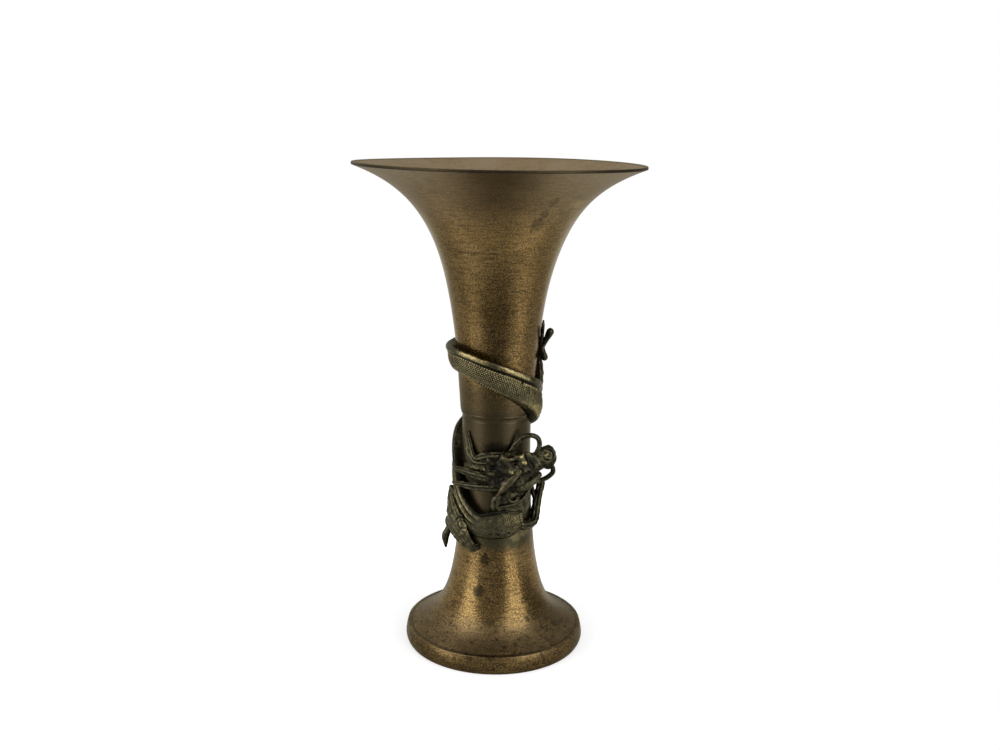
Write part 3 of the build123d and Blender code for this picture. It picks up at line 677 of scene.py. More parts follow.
def make_piece(name, shapes, material, node, closed_rows=False):
    """One mesh object from pairs of a grid in millimetres and its wear, which replaces a CAD node."""
    vertices, faces, ridge_values = [], [], []
    offset = 0
    for points, wear in shapes:
        corners, quads, fans = grid_faces(points, closed_rows, offset)
        vertices.append(corners)
        faces += quads.tolist() + fans.tolist()
        ends = np.full(len(corners) - wear.size, PLAIN)
        ridge_values.append(np.concatenate([wear.ravel(), ends]))
        offset += len(corners)
    mesh = bpy.data.meshes.new(name)
    mesh.from_pydata((np.concatenate(vertices) * MM).tolist(), [], faces)
    mesh.polygons.foreach_set("use_smooth", np.ones(len(mesh.polygons), bool))
    attribute = mesh.attributes.new("ridge", "FLOAT", "POINT")
    attribute.data.foreach_set("value", np.concatenate(ridge_values).astype(np.float32))
    mesh.materials.append(material)
    mesh.set_sharp_from_angle(angle=math.radians(SHARP_ANGLE))
    mesh.update()
    piece = bpy.data.objects.new(name, mesh)
    bpy.context.scene.collection.objects.link(piece)
    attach(piece, "root")
    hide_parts(node)


def section_weights():
    """Shares of the ten section points at each grid column: a closed cubic by distance round them."""
    typical = section_points(*np.array(TYPICAL_SECTION)[:, None])[0]
    steps = np.linalg.norm(np.roll(typical, -1, axis=0) - typical, axis=1)
    place = np.concatenate([[0], np.cumsum(steps)])
    count = len(steps)
    wanted = np.concatenate([
        np.linspace(place[k], place[k + 1], SECTION_STEPS[k], endpoint=False) for k in range(count)])
    lap = place[-1]
    knot_place = np.concatenate([place[:-1] - lap, place[:-1], place[:-1] + lap])
    knots = np.concatenate([knot_place[:, None], np.tile(np.eye(count), (3, 1))], axis=1)
    return smooth_knots(knots, wanted)


def section_points(half, stand, tilt, share):
    """Corner points (across, off the wall) of the body's section, from belly edge to back bead."""
    bead = 2 * half * share
    zero = np.zeros_like(half)
    corners = [(-half, zero - ROOT_DEPTH)]
    corners += [(-share * half, height * stand) for share, height in FLANK_SHARES]
    corners += [(half - share * bead, height * stand) for share, height in BACK_SHARES]
    corners += [(half - BEAD_ROOT * bead, zero - ROOT_DEPTH)]
    points = np.stack([np.stack(corner, axis=-1) for corner in corners], axis=-2)
    lean = 1 - tilt[:, None] * points[..., 0] / half[:, None]
    points[..., 1] = np.where(points[..., 1] > 0, points[..., 1] * lean, points[..., 1])
    return points


def diamond(along, across, pitch):
    """A lattice of diamonds: 0 on its lines, 1 at each middle, from two slanting sawtooth waves."""
    left = (along + across) / pitch
    right = (along - across) / pitch
    left = np.abs(left - np.floor(left) - 0.5)
    right = np.abs(right - np.floor(right) - 0.5)
    return 1 - 2 * np.maximum(left, right)


def body_surface(vessel, carving, start, end):
    """A length of the body: its section carried along its line, with scales, belly plates and pits."""
    def line(angle):
        rise = smooth_knots(BODY_LINE, angle)[:, 0]
        return vessel.on_wall(angle, rise, smooth_knots(BODY_STAND, angle)[:, 0])

    fine = np.arange(BODY_LINE[0][0], BODY_LINE[-1][0] + LINE_STEP, LINE_STEP)
    run = np.concatenate([[0], np.cumsum(np.linalg.norm(np.diff(line(fine), axis=0), axis=1))])
    first, last = np.interp([start, end], fine, run)
    rows = int((last - first) / (carving.row_step / MM)) + 2
    along_mm = np.linspace(first, last, rows)
    angle = np.interp(along_mm, run, fine)
    rise = smooth_knots(BODY_LINE, angle)[:, 0]
    half = smooth_knots(BODY_WIDTH, angle)[:, 0] / 2
    stand = smooth_knots(BODY_STAND, angle)[:, 0]
    tilt = smooth_knots(BODY_LEAN, angle)[:, 0]
    share = smooth_knots(BEAD_SHARE, angle)[:, 0]
    low = np.maximum(angle - SLOPE_STEP, fine[0])
    high = np.minimum(angle + SLOPE_STEP, fine[-1])
    climb = smooth_knots(BODY_LINE, high)[:, 0] - smooth_knots(BODY_LINE, low)[:, 0]
    radius = vessel.wall(JOINT_HEIGHT + rise)
    along = around(angle) * (radius * np.radians(high - low))[:, None]
    along[:, 2] += climb
    across = unit(np.cross(outward(angle), unit(along)))
    section = np.einsum("ck,rkd->rcd", section_weights(), section_points(half, stand, tilt, share))
    side, height = section[..., 0], section[..., 1]
    swing = side * (across * around(angle)).sum(axis=1)[:, None]
    drop = np.sqrt(np.maximum(radius[:, None] ** 2 - swing**2, 0)) - radius[:, None]
    lean = vessel.wall(JOINT_HEIGHT + rise[:, None] + side * across[:, None, 2]) - radius[:, None]
    lean = np.clip(lean, -MOST_LEAN, MOST_LEAN)
    points = vessel.on_wall(angle, rise, np.zeros_like(angle))[:, None, :]
    points = points + outward(angle)[:, None, :] * (height + drop + lean)[..., None]
    points = points + across[:, None, :] * side[..., None]
    pins = [(np.interp(pin_angle, fine, run), pin_side) for pin_angle, pin_side in PIN_PLACES]
    rows = (row[:, None] for row in (along_mm, angle, half, share))
    relief, ridge = body_carving(carving, *rows, side, height, pins)
    return points + grid_normals(points) * relief[..., None], ridge


def window(ends, value):
    """A smooth step up between the first two of four ends, and down between the last two."""
    start, full, fading, gone = ends
    return step_between(start, full, value) * (1 - step_between(fading, gone, value))


def hump(value, middle, spread):
    """A bell-shaped hump of height 1: exp(-((value - middle) / spread)^2)."""
    return np.exp(-(((value - middle) / spread) ** 2))


def body_carving(carving, along, angle, half, share, side, height, pins):
    """Relief off the body's surface and its ridge value, from distances along and across it.

    Each kind of carving is a wave or a hump times the zone that it fills: scales, belly plates, cords on
    the steep run, a comb on the shoulder, dots, the groove beside the back bead, and pits at the pins.
    A wave counts from about its middle level, so that it raises and lowers."""
    bead_start = 1 - BEAD_EDGE * share
    flank = (side + half) / (2 * half * bead_start)
    lift = (flank - 1) * bead_start / (BEAD_EDGE * share)
    outside = step_between(*OUTSIDE_ENDS, height)
    lower = step_between(*LOWER_ZONE, angle)
    upper = 1 - lower
    crisp = 1 - LOWER_SMOOTHING * lower
    steep = window(STEEP_ZONE, angle)
    broad = BROAD_BELLY_SHARE * window(BROAD_BELLY_ZONE, angle)

    scales = step_between(*SCALE_SLOPE, diamond(along, side, carving.scale_pitch / MM))
    scaled = step_between(*SCALE_START, flank - broad) * (1 - step_between(*SCALE_END, flank)) * outside
    plates = np.abs(np.sin(np.pi * along / (carving.plate_pitch / MM)))
    belly = (1 - step_between(*BELLY_END, flank - broad)) * outside
    cords = np.cos(2 * np.pi * CORD_COUNT * flank) * window(CORD_ZONE, flank) * steep
    shoulder = step_between(*SHOULDER_ZONE, angle) * step_between(*COMB_START, flank)
    combs = np.abs(np.sin(np.pi * along / COMB_PITCH)) * shoulder * (1 - step_between(*COMB_END, flank))
    bead = step_between(*BEAD_START, lift) * outside
    line = np.exp(-(((lift - LINE_ROW) / LINE_SPREAD) ** 4)) * outside * crisp
    groove = hump(flank, GROOVE_ROW, GROOVE_SPREAD) * outside
    dot_row = hump(flank, DOT_ROW, DOT_SPREAD) * upper
    dots = dot_row * (0.5 + 0.5 * np.cos(2 * np.pi * along / DOT_PITCH)) * outside

    relief = carving.scale_height / MM * (scales - 0.5) * scaled
    relief = relief * (1 - STEEP_SMOOTHING * steep) * (1 - shoulder)
    relief = relief + PLATE_HEIGHT * (plates - 0.6) * belly * crisp
    relief = relief + CORD_HEIGHT * cords * outside + COMB_HEIGHT * combs + DOT_HEIGHT * dots
    relief = relief - GROOVE_DEPTH * groove - BEAD_EDGE_DEPTH * bead * (1 - line)

    clear = 1 - BELLY_LOSS * (1 - step_between(*CLEAR_ZONE, flank)) * upper
    contrast = (SCALE_CONTRAST - LOWER_LOSS * lower) * clear * (1 - STEEP_LOSS * steep) * (1 - dots)
    # Painted highlight on the back line and the dots, by zone
    dull_place = hump(angle, DULL_BEAD_PLACE, DULL_BEAD_REACH)
    shine = window(SHINY_BEAD_ZONE, angle) * (1 - DULL_BEAD_SHARE * dull_place)
    sparkle = window(BRIGHT_DOT_ZONE, angle)
    # The belly's edge is made darker on the broad belly
    dark_edge = (1 - step_between(*DARK_EDGE_ZONE, flank)) * outside * broad
    # Belly plates' wear, with a painted highlight on the broad belly
    plate_wear_and_shine = PLATE_CONTRAST * (plates - 0.5) * crisp + BROAD_BELLY_SHINE * broad
    # The lower coil is made darker
    ridge = BODY_WEAR - LOWER_DARKENING * lower + contrast * (scales - 0.45) * scaled
    ridge = ridge + plate_wear_and_shine * belly - BELLY_EDGE_DARKENING * dark_edge
    ridge = ridge + (LINE_WEAR + LINE_SHINE * shine) * line - BEAD_DIRT * bead - GROOVE_DIRT * groove
    ridge = ridge + (DOT_WEAR + DOT_SHINE * sparkle) * dots - DOT_ROW_DIRT * dot_row
    ridge = ridge + CORD_WEAR * cords + COMB_WEAR * (combs - 0.3) * shoulder
    for place, pin_side in pins:
        pit = np.exp(-((np.hypot(along - place, side - pin_side) / PIN_RADIUS) ** 4)) * outside
        relief = relief - PIT_DEPTH * pit
        ridge = ridge * (1 - pit)
    return relief, np.clip(ridge, 0, 1)


def limb_surface(vessel, places, rows=96, columns=32, start_round=0.8, end_round=0.9, hug=False):
    """An oval section carried along a smooth line through the places, with rounded ends.

    Point = centre + across * width * cos t + out * depth * sin t, where the widths shrink at the ends
    as a circle's edge does. Gives the points and each point's distance along and turn round."""
    places = np.asarray(places, float)
    corners = vessel.on_wall(places[:, 0], places[:, 1], places[:, 2])
    run = np.concatenate([[0], np.cumsum(np.linalg.norm(np.diff(corners, axis=0), axis=1))])
    along_mm = run[-1] * (1 - np.cos(np.pi * np.linspace(*LIMB_ROW_ENDS, rows))) / 2
    values = smooth_knots(np.column_stack([run, places]), along_mm)
    centres = vessel.on_wall(values[:, 0], values[:, 1], values[:, 2])
    along = unit(np.gradient(centres, axis=0))
    across = unit(np.cross(outward(values[:, 0]), along))
    out = np.cross(along, across)
    start = np.clip(along_mm / max(start_round * places[0, 3], LEAST_END), 0, 1)
    end = np.clip((run[-1] - along_mm) / max(end_round * places[-1, 3], LEAST_END), 0, 1)
    close = np.sqrt(np.maximum(1 - (1 - start) ** 2, 0)) * np.sqrt(np.maximum(1 - (1 - end) ** 2, 0))
    turn = np.linspace(0, 2 * np.pi, columns, endpoint=False)
    wide = (values[:, 3] * close)[:, None] * np.cos(turn)
    deep = (values[:, 4] * close)[:, None] * np.sin(turn)
    points = centres[:, None, :] + across[:, None, :] * wide[..., None] + out[:, None, :] * deep[..., None]
    if hug:
        radius = np.hypot(centres[:, 0], centres[:, 1])[:, None]
        swing = wide * (across * around(values[:, 0])).sum(axis=1)[:, None]
        drop = np.sqrt(radius**2 - swing**2) - radius
        points = points + out[:, None, :] * drop[..., None]
    return points, along_mm[:, None] + 0 * turn, turn + 0 * along_mm[:, None]


def wall_place(points):
    """Angle in degrees, rise above the waist joint and radius of points in millimetres."""
    angle = np.degrees(np.arctan2(points[..., 0], -points[..., 1]))
    return angle, points[..., 2] - JOINT_HEIGHT, np.hypot(points[..., 0], points[..., 1])


def facing(points):
    """How far each point's surface faces away from the axis, from 0 to 1."""
    away = unit(points * np.array([1.0, 1.0, 0.0]))
    return step_between(*FACING_ENDS, (grid_normals(points) * away).sum(axis=-1))


def bumps(points, features):
    """Sum of oval bell-shaped bumps (angle, rise, length, width, turn, height) laid on the wall's map."""
    angle, rise, radius = wall_place(points)
    total = np.zeros(points.shape[:2])
    for place, level, length, width, turn, height in features:
        sideways = np.radians(angle - place) * radius
        upward = rise - level
        c, s = math.cos(math.radians(turn)), math.sin(math.radians(turn))
        first = (sideways * c + upward * s) / length
        second = (upward * c - sideways * s) / width
        total += height * np.exp(-(first**2) - second**2)
    return total


def spiral(points, place, level, reach, pitch):
    """A spiral groove on the wall's map: 1 on the groove, fading at the reach."""
    angle, rise, radius = wall_place(points)
    sideways = np.radians(angle - place) * radius
    upward = rise - level
    distance = np.hypot(sideways, upward)
    phase = distance / pitch - np.arctan2(upward, sideways) / (2 * np.pi)
    phase = np.abs(phase - np.floor(phase) - 0.5)
    return np.exp(-((phase / SPIRAL_WIDTH) ** 2)) * (1 - step_between(0.75 * reach, reach, distance))


def lumps(points, size=3.4):
    """Unevenness of the casting, about -1 to 1: waves sin(2 pi p.d / size) along five directions d."""
    total = np.zeros(points.shape[:2])
    for k, way in enumerate(LUMP_WAYS):
        length = size * (1.0 + LUMP_GROWTH * k)
        total += np.sin(2 * np.pi * (points @ np.array(way)) / length + LUMP_SHIFT * k)
    return total / 3


def carved(points, relief, gain=0.5):
    """Moves points along their normals by the relief, and gives ridge values that follow it."""
    moved = points + grid_normals(points) * relief[..., None]
    return moved, np.clip(CARVED_WEAR + gain * relief, 0, 1)


def hair(along, turn, strands, twist):
    """Flowing hair lines: a wave round the section that twists along the limb."""
    return np.cos(strands * turn + twist * along)


def limb_piece(vessel, carving, places, strands=0, twist=0.0, rows=96, columns=32, hug=False):
    """A limb with hair lines, as its points and ridge values."""
    points, along, turn = limb_surface(vessel, places, rows, columns, hug=hug)
    depth = carving.hair_depth / MM
    size = min(max(place[3] for place in places) / FULL_HAIR_WIDTH, 1.0)
    uneven = lumps(points)
    relief = LUMP_HEIGHT * size * uneven
    if strands:
        relief = relief + depth * size * (0.75 + 0.35 * uneven) * hair(along, turn, strands, twist)
    moved, ridge = carved(points, relief, gain=0.6)
    # The outer side of a limb is made lighter
    return moved, np.clip(ridge + FACING_LIFT * facing(moved) - LIMB_DIRT, 0, 1)


def wall_rings(angle, columns):
    """The outward line of the wall at an angle, and a ring of unit vectors square to it."""
    place = np.array([float(angle)])
    turn = np.linspace(0, 2 * np.pi, columns, endpoint=False)[:, None]
    return outward(place)[0], np.cos(turn) * around(place)[0] + np.sin(turn) * np.array([0, 0, 1.0])


def placed(place, right, up, back):
    """A matrix that puts an object at a place, with its axes along three directions."""
    turn = Matrix(np.stack([right, up, back], axis=1).tolist()).to_4x4()
    return Matrix.Translation([float(number) for number in place]) @ turn


class Nodes:
    """A node tree with short ways to add to it; a value is a number, a colour or another node's socket."""

    def __init__(self, tree):
        self.tree = tree

    def feed(self, socket, value):
        """Links a socket to an input, or sets the input's own value."""
        if isinstance(value, bpy.types.NodeSocket):
            self.tree.links.new(value, socket)
        else:
            socket.default_value = value

    def add(self, kind, **settings):
        """A node with its settings and its inputs by name."""
        made = self.tree.nodes.new("ShaderNode" + kind)
        for name, value in settings.items():
            if hasattr(made, name):
                setattr(made, name, value)
            else:
                self.feed(made.inputs[name], value)
        return made

    def calculate(self, kind, operation, *values):
        """A node that works out an operation on its inputs in order."""
        made = self.add(kind, operation=operation)
        for socket, value in zip(made.inputs, values):
            self.feed(socket, value)
        return made

    def times(self, first, second):
        """The product of two values."""
        return self.calculate("Math", "MULTIPLY", first, second).outputs[0]

    def plus(self, first, second):
        """The sum of two values."""
        return self.calculate("Math", "ADD", first, second).outputs[0]

    def less(self, first, second):
        """The first value less the second."""
        return self.calculate("Math", "SUBTRACT", first, second).outputs[0]

    def larger(self, first, second):
        """The larger of two values."""
        return self.calculate("Math", "MAXIMUM", first, second).outputs[0]

    def times_plus(self, value, factor, extra):
        """A value times a factor, plus an extra."""
        return self.calculate("Math", "MULTIPLY_ADD", value, factor, extra).outputs[0]

    def ramp(self, value, low, high):
        """A smooth step from 0 at low to 1 at high."""
        made = self.add("MapRange", interpolation_type="SMOOTHSTEP")
        for name, number in (("From Min", low), ("From Max", high), ("Value", value)):
            self.feed(made.inputs[name], number)
        return made.outputs["Result"]

    def blend(self, share, first, second):
        """A colour between two colours."""
        made = self.add("Mix", data_type="RGBA")
        for index, value in ((0, share), (6, first), (7, second)):
            self.feed(made.inputs[index], value)
        return made.outputs[2]

    def place(self):
        """The point on the piece, in Object coordinates."""
        return self.add("TexCoord").outputs["Object"]

    def noise(self, place, scale, detail, roughness=0.5):
        """Soft noise at a place, about 0.5."""
        made = self.add("TexNoise", Vector=place, Scale=scale, Detail=detail, Roughness=roughness)
        return made.outputs["Fac"]

    def wear(self):
        """The value that each piece carries at its points."""
        return self.add("Attribute", attribute_name="ridge").outputs["Fac"]

    def bump(self, height, strength, distance, **more):
        """A normal that leans with a height."""
        made = self.add("Bump", Height=height, Strength=strength, Distance=distance, **more)
        return made.outputs["Normal"]

    def group(self, build, **values):
        """A group's outputs, with its own values."""
        made = self.add("Group", node_tree=made_once(bpy.data.node_groups, build))
        for name, value in values.items():
            self.feed(made.inputs[name], value)
        return made.outputs


def made_once(store, build, *given):
    """What a function builds under its own name, built the first time that it is asked for."""
    return store.get(build.__name__) or build(build.__name__, *given)


def new_group(name, inputs, outputs):
    """A shader node group with named sockets: its nodes, what it is given and what it is to put out."""
    tree = bpy.data.node_groups.new(name, "ShaderNodeTree")
    for label, kind, value in inputs:
        tree.interface.new_socket(label, in_out="INPUT", socket_type=kind).default_value = value
    for label in outputs:
        tree.interface.new_socket(label, in_out="OUTPUT", socket_type="NodeSocketFloat")
    given, wanted = tree.nodes.new("NodeGroupInput"), tree.nodes.new("NodeGroupOutput")
    return Nodes(tree), given.outputs, wanted.inputs


def bronze_grain(name):
    """Bronze grain: fine grains, soft clouds and scattered bright flecks, from noise at three sizes."""
    nodes, given, wanted = new_group(
        name, [("Fineness", "NodeSocketFloat", 900.0)], ("Grain", "Clouds", "Flecks"))
    place = nodes.place()
    flecks = nodes.noise(place, nodes.times(given["Fineness"], 0.8), detail=2.0)
    nodes.feed(wanted["Grain"], nodes.noise(place, given["Fineness"], detail=3.0))
    nodes.feed(wanted["Clouds"], nodes.noise(place, 38.0, detail=5.0, roughness=0.62))
    nodes.feed(wanted["Flecks"], nodes.ramp(flecks, 0.5, 0.64))
    return nodes.tree


def turning_lines(name):
    """Turning lines: fine level rings, from noise that is stretched round the axis."""
    nodes, given, wanted = new_group(name, [("Closeness", "NodeSocketFloat", 700.0)], ("Lines",))
    stretched = nodes.add("Mapping", Vector=nodes.place(), Scale=(0.12, 0.12, 1.0)).outputs[0]
    nodes.feed(wanted["Lines"], nodes.noise(stretched, given["Closeness"], detail=2.0))
    return nodes.tree


def ragged_spot(name):
    """A ragged spot round a place on the surface: 1 inside its radius, 0 outside."""
    nodes, given, wanted = new_group(
        name,
        [("Place", "NodeSocketVector", (0, 0, 0)), ("Stretch", "NodeSocketVector", (1, 1, 1)),
         ("Radius", "NodeSocketFloat", 0.004), ("Raggedness", "NodeSocketFloat", 0.6)], ("Mask",))
    place = nodes.place()
    away = nodes.calculate("VectorMath", "SUBTRACT", place, given["Place"]).outputs[0]
    shaped = nodes.calculate("VectorMath", "MULTIPLY", away, given["Stretch"]).outputs[0]
    length = nodes.calculate("VectorMath", "LENGTH", shaped).outputs["Value"]
    noise = nodes.noise(place, 420.0, detail=4.0, roughness=0.65)
    ragged = nodes.times(nodes.less(noise, 0.5), given["Raggedness"])
    share = nodes.calculate("Math", "DIVIDE", length, given["Radius"]).outputs[0]
    share = nodes.plus(share, nodes.times(ragged, 4.0))
    nodes.feed(wanted["Mask"], nodes.less(1.0, nodes.ramp(share, 0.55, 1.25)))
    return nodes.tree


def new_material(name):
    """A node material, its nodes and its Principled shader's inputs."""
    material = bpy.data.materials.new(name)
    material.use_nodes = True
    return material, Nodes(material.node_tree), material.node_tree.nodes["Principled BSDF"].inputs


def stain_place(vessel, angle, height):
    """A stain's place on the wall, in metres."""
    point = outward(np.array([float(angle)]))[0] * float(vessel.wall(np.array([float(height)]))[0])
    return (point[0] * MM, point[1] * MM, height * MM)


def aged_vessel_bronze(name, vessel, colours):
    """Aged brown-gold bronze: cloudy tone, grain, turning lines, dirt and painted shade round the dragon,
    dust inside.
    """
    material, nodes, shader = new_material(name)
    grain = nodes.group(bronze_grain, Fineness=1500.0)
    turning = nodes.group(turning_lines, Closeness=1100.0)["Lines"]
    place = nodes.add("SeparateXYZ", Vector=nodes.place()).outputs
    wear = nodes.wear()
    zone = {label: nodes.ramp(place["Z"], *ends) for label, ends in FINISH_ZONES.items()}

    amount = nodes.less(nodes.times_plus(zone["foot"], 0.05, 0.95), nodes.times(zone["trumpet"], 0.15))
    clouds = nodes.ramp(grain["Clouds"], *CLOUD_ENDS)
    strokes = nodes.times(nodes.ramp(turning, *STROKE_ENDS), amount)
    grains = nodes.times(nodes.ramp(grain["Grain"], *GRAIN_ENDS), amount)
    flecks = nodes.times(grain["Flecks"], amount)
    colour = nodes.blend(clouds, colours.vessel_brown, colours.vessel)
    colour = nodes.blend(nodes.times(strokes, STROKE_SHARE), colour, colours.vessel_dark)
    colour = nodes.blend(nodes.times(grains, GRAIN_SHARE), colour, colours.vessel_dark)
    colour = nodes.blend(nodes.times(flecks, FLECK_SHARE), colour, colours.vessel_bright)

    # Dirt and painted shade on the stem round the dragon, less of them by the waist ring
    level = nodes.plus(place["Z"], nodes.times_plus(grain["Clouds"], 0.05, -0.025))
    slant = nodes.plus(level, nodes.times(place["X"], 0.25))
    grime = nodes.times(nodes.ramp(slant, *SHADE_AND_GRIME_TOP), nodes.ramp(level, *SHADE_AND_GRIME_BOTTOM))
    grime_and_shade_share = nodes.times(grime, nodes.times_plus(grains, -0.15, 0.96))
    grime_and_shade_share = nodes.times(grime_and_shade_share, nodes.times_plus(zone["waist"], -0.24, 1.0))
    colour = nodes.blend(grime_and_shade_share, colour, colours.grime)
    # Dust under the lip, which also paints a sheen there
    colour = nodes.blend(nodes.times(zone["under_lip"], LIP_DUST_AND_SHEEN_SHARE), colour, colours.dust)
    soiled = nodes.times(zone["dusty_foot"], zone["above_band"])
    colour = nodes.blend(nodes.times(soiled, FOOT_DUST_SHARE), colour, colours.dust)
    pits = nodes.ramp(nodes.group(bronze_grain, Fineness=330.0)["Grain"], *PIT_ENDS)
    pits = nodes.times(pits, zone["pitted"])
    colour = nodes.blend(nodes.times(pits, PIT_SHARE), colour, colours.dragon_dark)
    brim = nodes.times(zone["dark_foot"], nodes.times_plus(clouds, -0.25, 0.32))
    colour = nodes.blend(brim, colour, colours.vessel_dark)
    edge = nodes.times(nodes.ramp(wear, *EDGE_ENDS), EDGE_SHARE)
    colour = nodes.blend(edge, colour, colours.dragon_dark)
    dust = nodes.ramp(wear, *DUST_ENDS)
    colour = nodes.blend(nodes.times(dust, nodes.times_plus(clouds, 0.7, 0.2)), colour, colours.dust)

    patina = 0.0
    # Stains, and a painted shadow on the wall above the head
    for angle, height, radius, stretch, kind in STAINS:
        tint, most = STAIN_KINDS[kind]
        spot = nodes.group(
            ragged_spot, Place=stain_place(vessel, angle, height), Stretch=stretch, Radius=radius * MM,
            Raggedness=0.7)
        share = nodes.times(spot["Mask"], most)
        colour = nodes.blend(share, colour, getattr(colours, tint))
        if kind == "patina":
            patina = nodes.larger(patina, share)
    nodes.feed(shader["Base Color"], colour)

    rough = nodes.times_plus(grain["Grain"], *VESSEL_ROUGHNESS)
    rough = nodes.plus(rough, nodes.times(zone["under_lip"], LIP_MATT))
    rough = nodes.plus(rough, nodes.times(soiled, FOOT_MATT))
    matt = nodes.times(nodes.larger(dust, nodes.times(patina, 0.5)), DUST_MATT)
    rough = nodes.plus(rough, nodes.larger(nodes.times(grime, SHADE_AND_GRIME_MATT), matt))
    rough.node.use_clamp = True
    nodes.feed(shader["Roughness"], rough)
    dull = nodes.larger(nodes.times(dust, 0.6), nodes.times(patina, 0.15))
    nodes.feed(shader["Metallic"], nodes.less(1.0, dull))
    nodes.feed(shader["Specular Tint"], VESSEL_GLANCE)
    normal = nodes.bump(turning, strength=0.12, distance=0.0002)
    normal = nodes.bump(grain["Grain"], strength=0.16, distance=0.0002, Normal=normal)
    nodes.feed(shader["Normal"], normal)
    return material


def olive_dragon_bronze(name, colours):
    """Dull olive bronze: dirt in the hollows, brass wear on the ridges with some painted highlight, from
    the ridge values.
    """
    material, nodes, shader = new_material(name)
    grain = nodes.group(bronze_grain, Fineness=1000.0)
    coarse = nodes.group(bronze_grain, Fineness=380.0)["Grain"]
    # The ridge value holds wear, with painted highlight in some places
    wear_and_shine = nodes.plus(nodes.wear(), nodes.times_plus(grain["Clouds"], 0.6, -0.3))
    wear_and_shine = nodes.plus(wear_and_shine, nodes.times_plus(coarse, 0.5, -0.25))
    colour = nodes.blend(nodes.ramp(wear_and_shine, *BARE_ENDS), colours.dragon_dark, colours.dragon)
    rub_and_shine = nodes.times(nodes.ramp(wear_and_shine, *BRASS_ENDS), BRASS_SHARE)
    colour = nodes.blend(rub_and_shine, colour, colours.dragon_ridge)
    patches = nodes.times(nodes.ramp(grain["Clouds"], *PATCH_ENDS), PATCH_SHARE)
    colour = nodes.blend(patches, colour, colours.patina)
    specks = nodes.times(nodes.ramp(grain["Grain"], *SPECK_ENDS), SPECK_SHARE)
    colour = nodes.blend(specks, colour, colours.dragon_dark)
    nodes.feed(shader["Base Color"], colour)
    nodes.feed(shader["Roughness"], nodes.times_plus(grain["Grain"], *DRAGON_ROUGHNESS))
    nodes.feed(shader["Metallic"], 1.0)
    nodes.feed(shader["Specular Tint"], DRAGON_GLANCE)
    normal = nodes.bump(coarse, strength=0.55, distance=0.0012)
    normal = nodes.bump(grain["Grain"], strength=0.3, distance=0.0004, Normal=normal)
    nodes.feed(shader["Normal"], normal)
    return material


def dark_plate_bronze(name, colours):
    """Dark unpolished bronze for the disc in the foot."""
    material, nodes, shader = new_material(name)
    grain = nodes.group(bronze_grain, Fineness=500.0)
    colour = nodes.blend(grain["Clouds"], colours.vessel_dark, colours.patina)
    colour = nodes.blend(nodes.ramp(grain["Grain"], 0.5, 0.35), colour, colours.dragon_dark)
    nodes.feed(shader["Base Color"], colour)
    nodes.feed(shader["Roughness"], nodes.ramp(grain["Clouds"], -0.6, 1.2))
    nodes.feed(shader["Metallic"], 0.85)
    nodes.feed(shader["Normal"], nodes.bump(grain["Grain"], strength=0.4, distance=0.0006))
    return material


def settings_of(context):
    """The vessel's outlines, the carving sizes and the colours that the panel holds."""
    scene = context.scene
    return Vessel(scene.vase_sizes), scene.dragon_sizes, scene.bronze_colours


def even_wear(points, value):
    """The same wear at every point of a grid."""
    return np.full(points.shape[:2], value)


def dragon_piece(colours, node, shapes):
    """One of the dragon's castings, from pairs of a grid and its wear."""
    bronze = made_once(bpy.data.materials, olive_dragon_bronze, colours)
    make_piece("dragon_" + node, shapes, bronze, node)


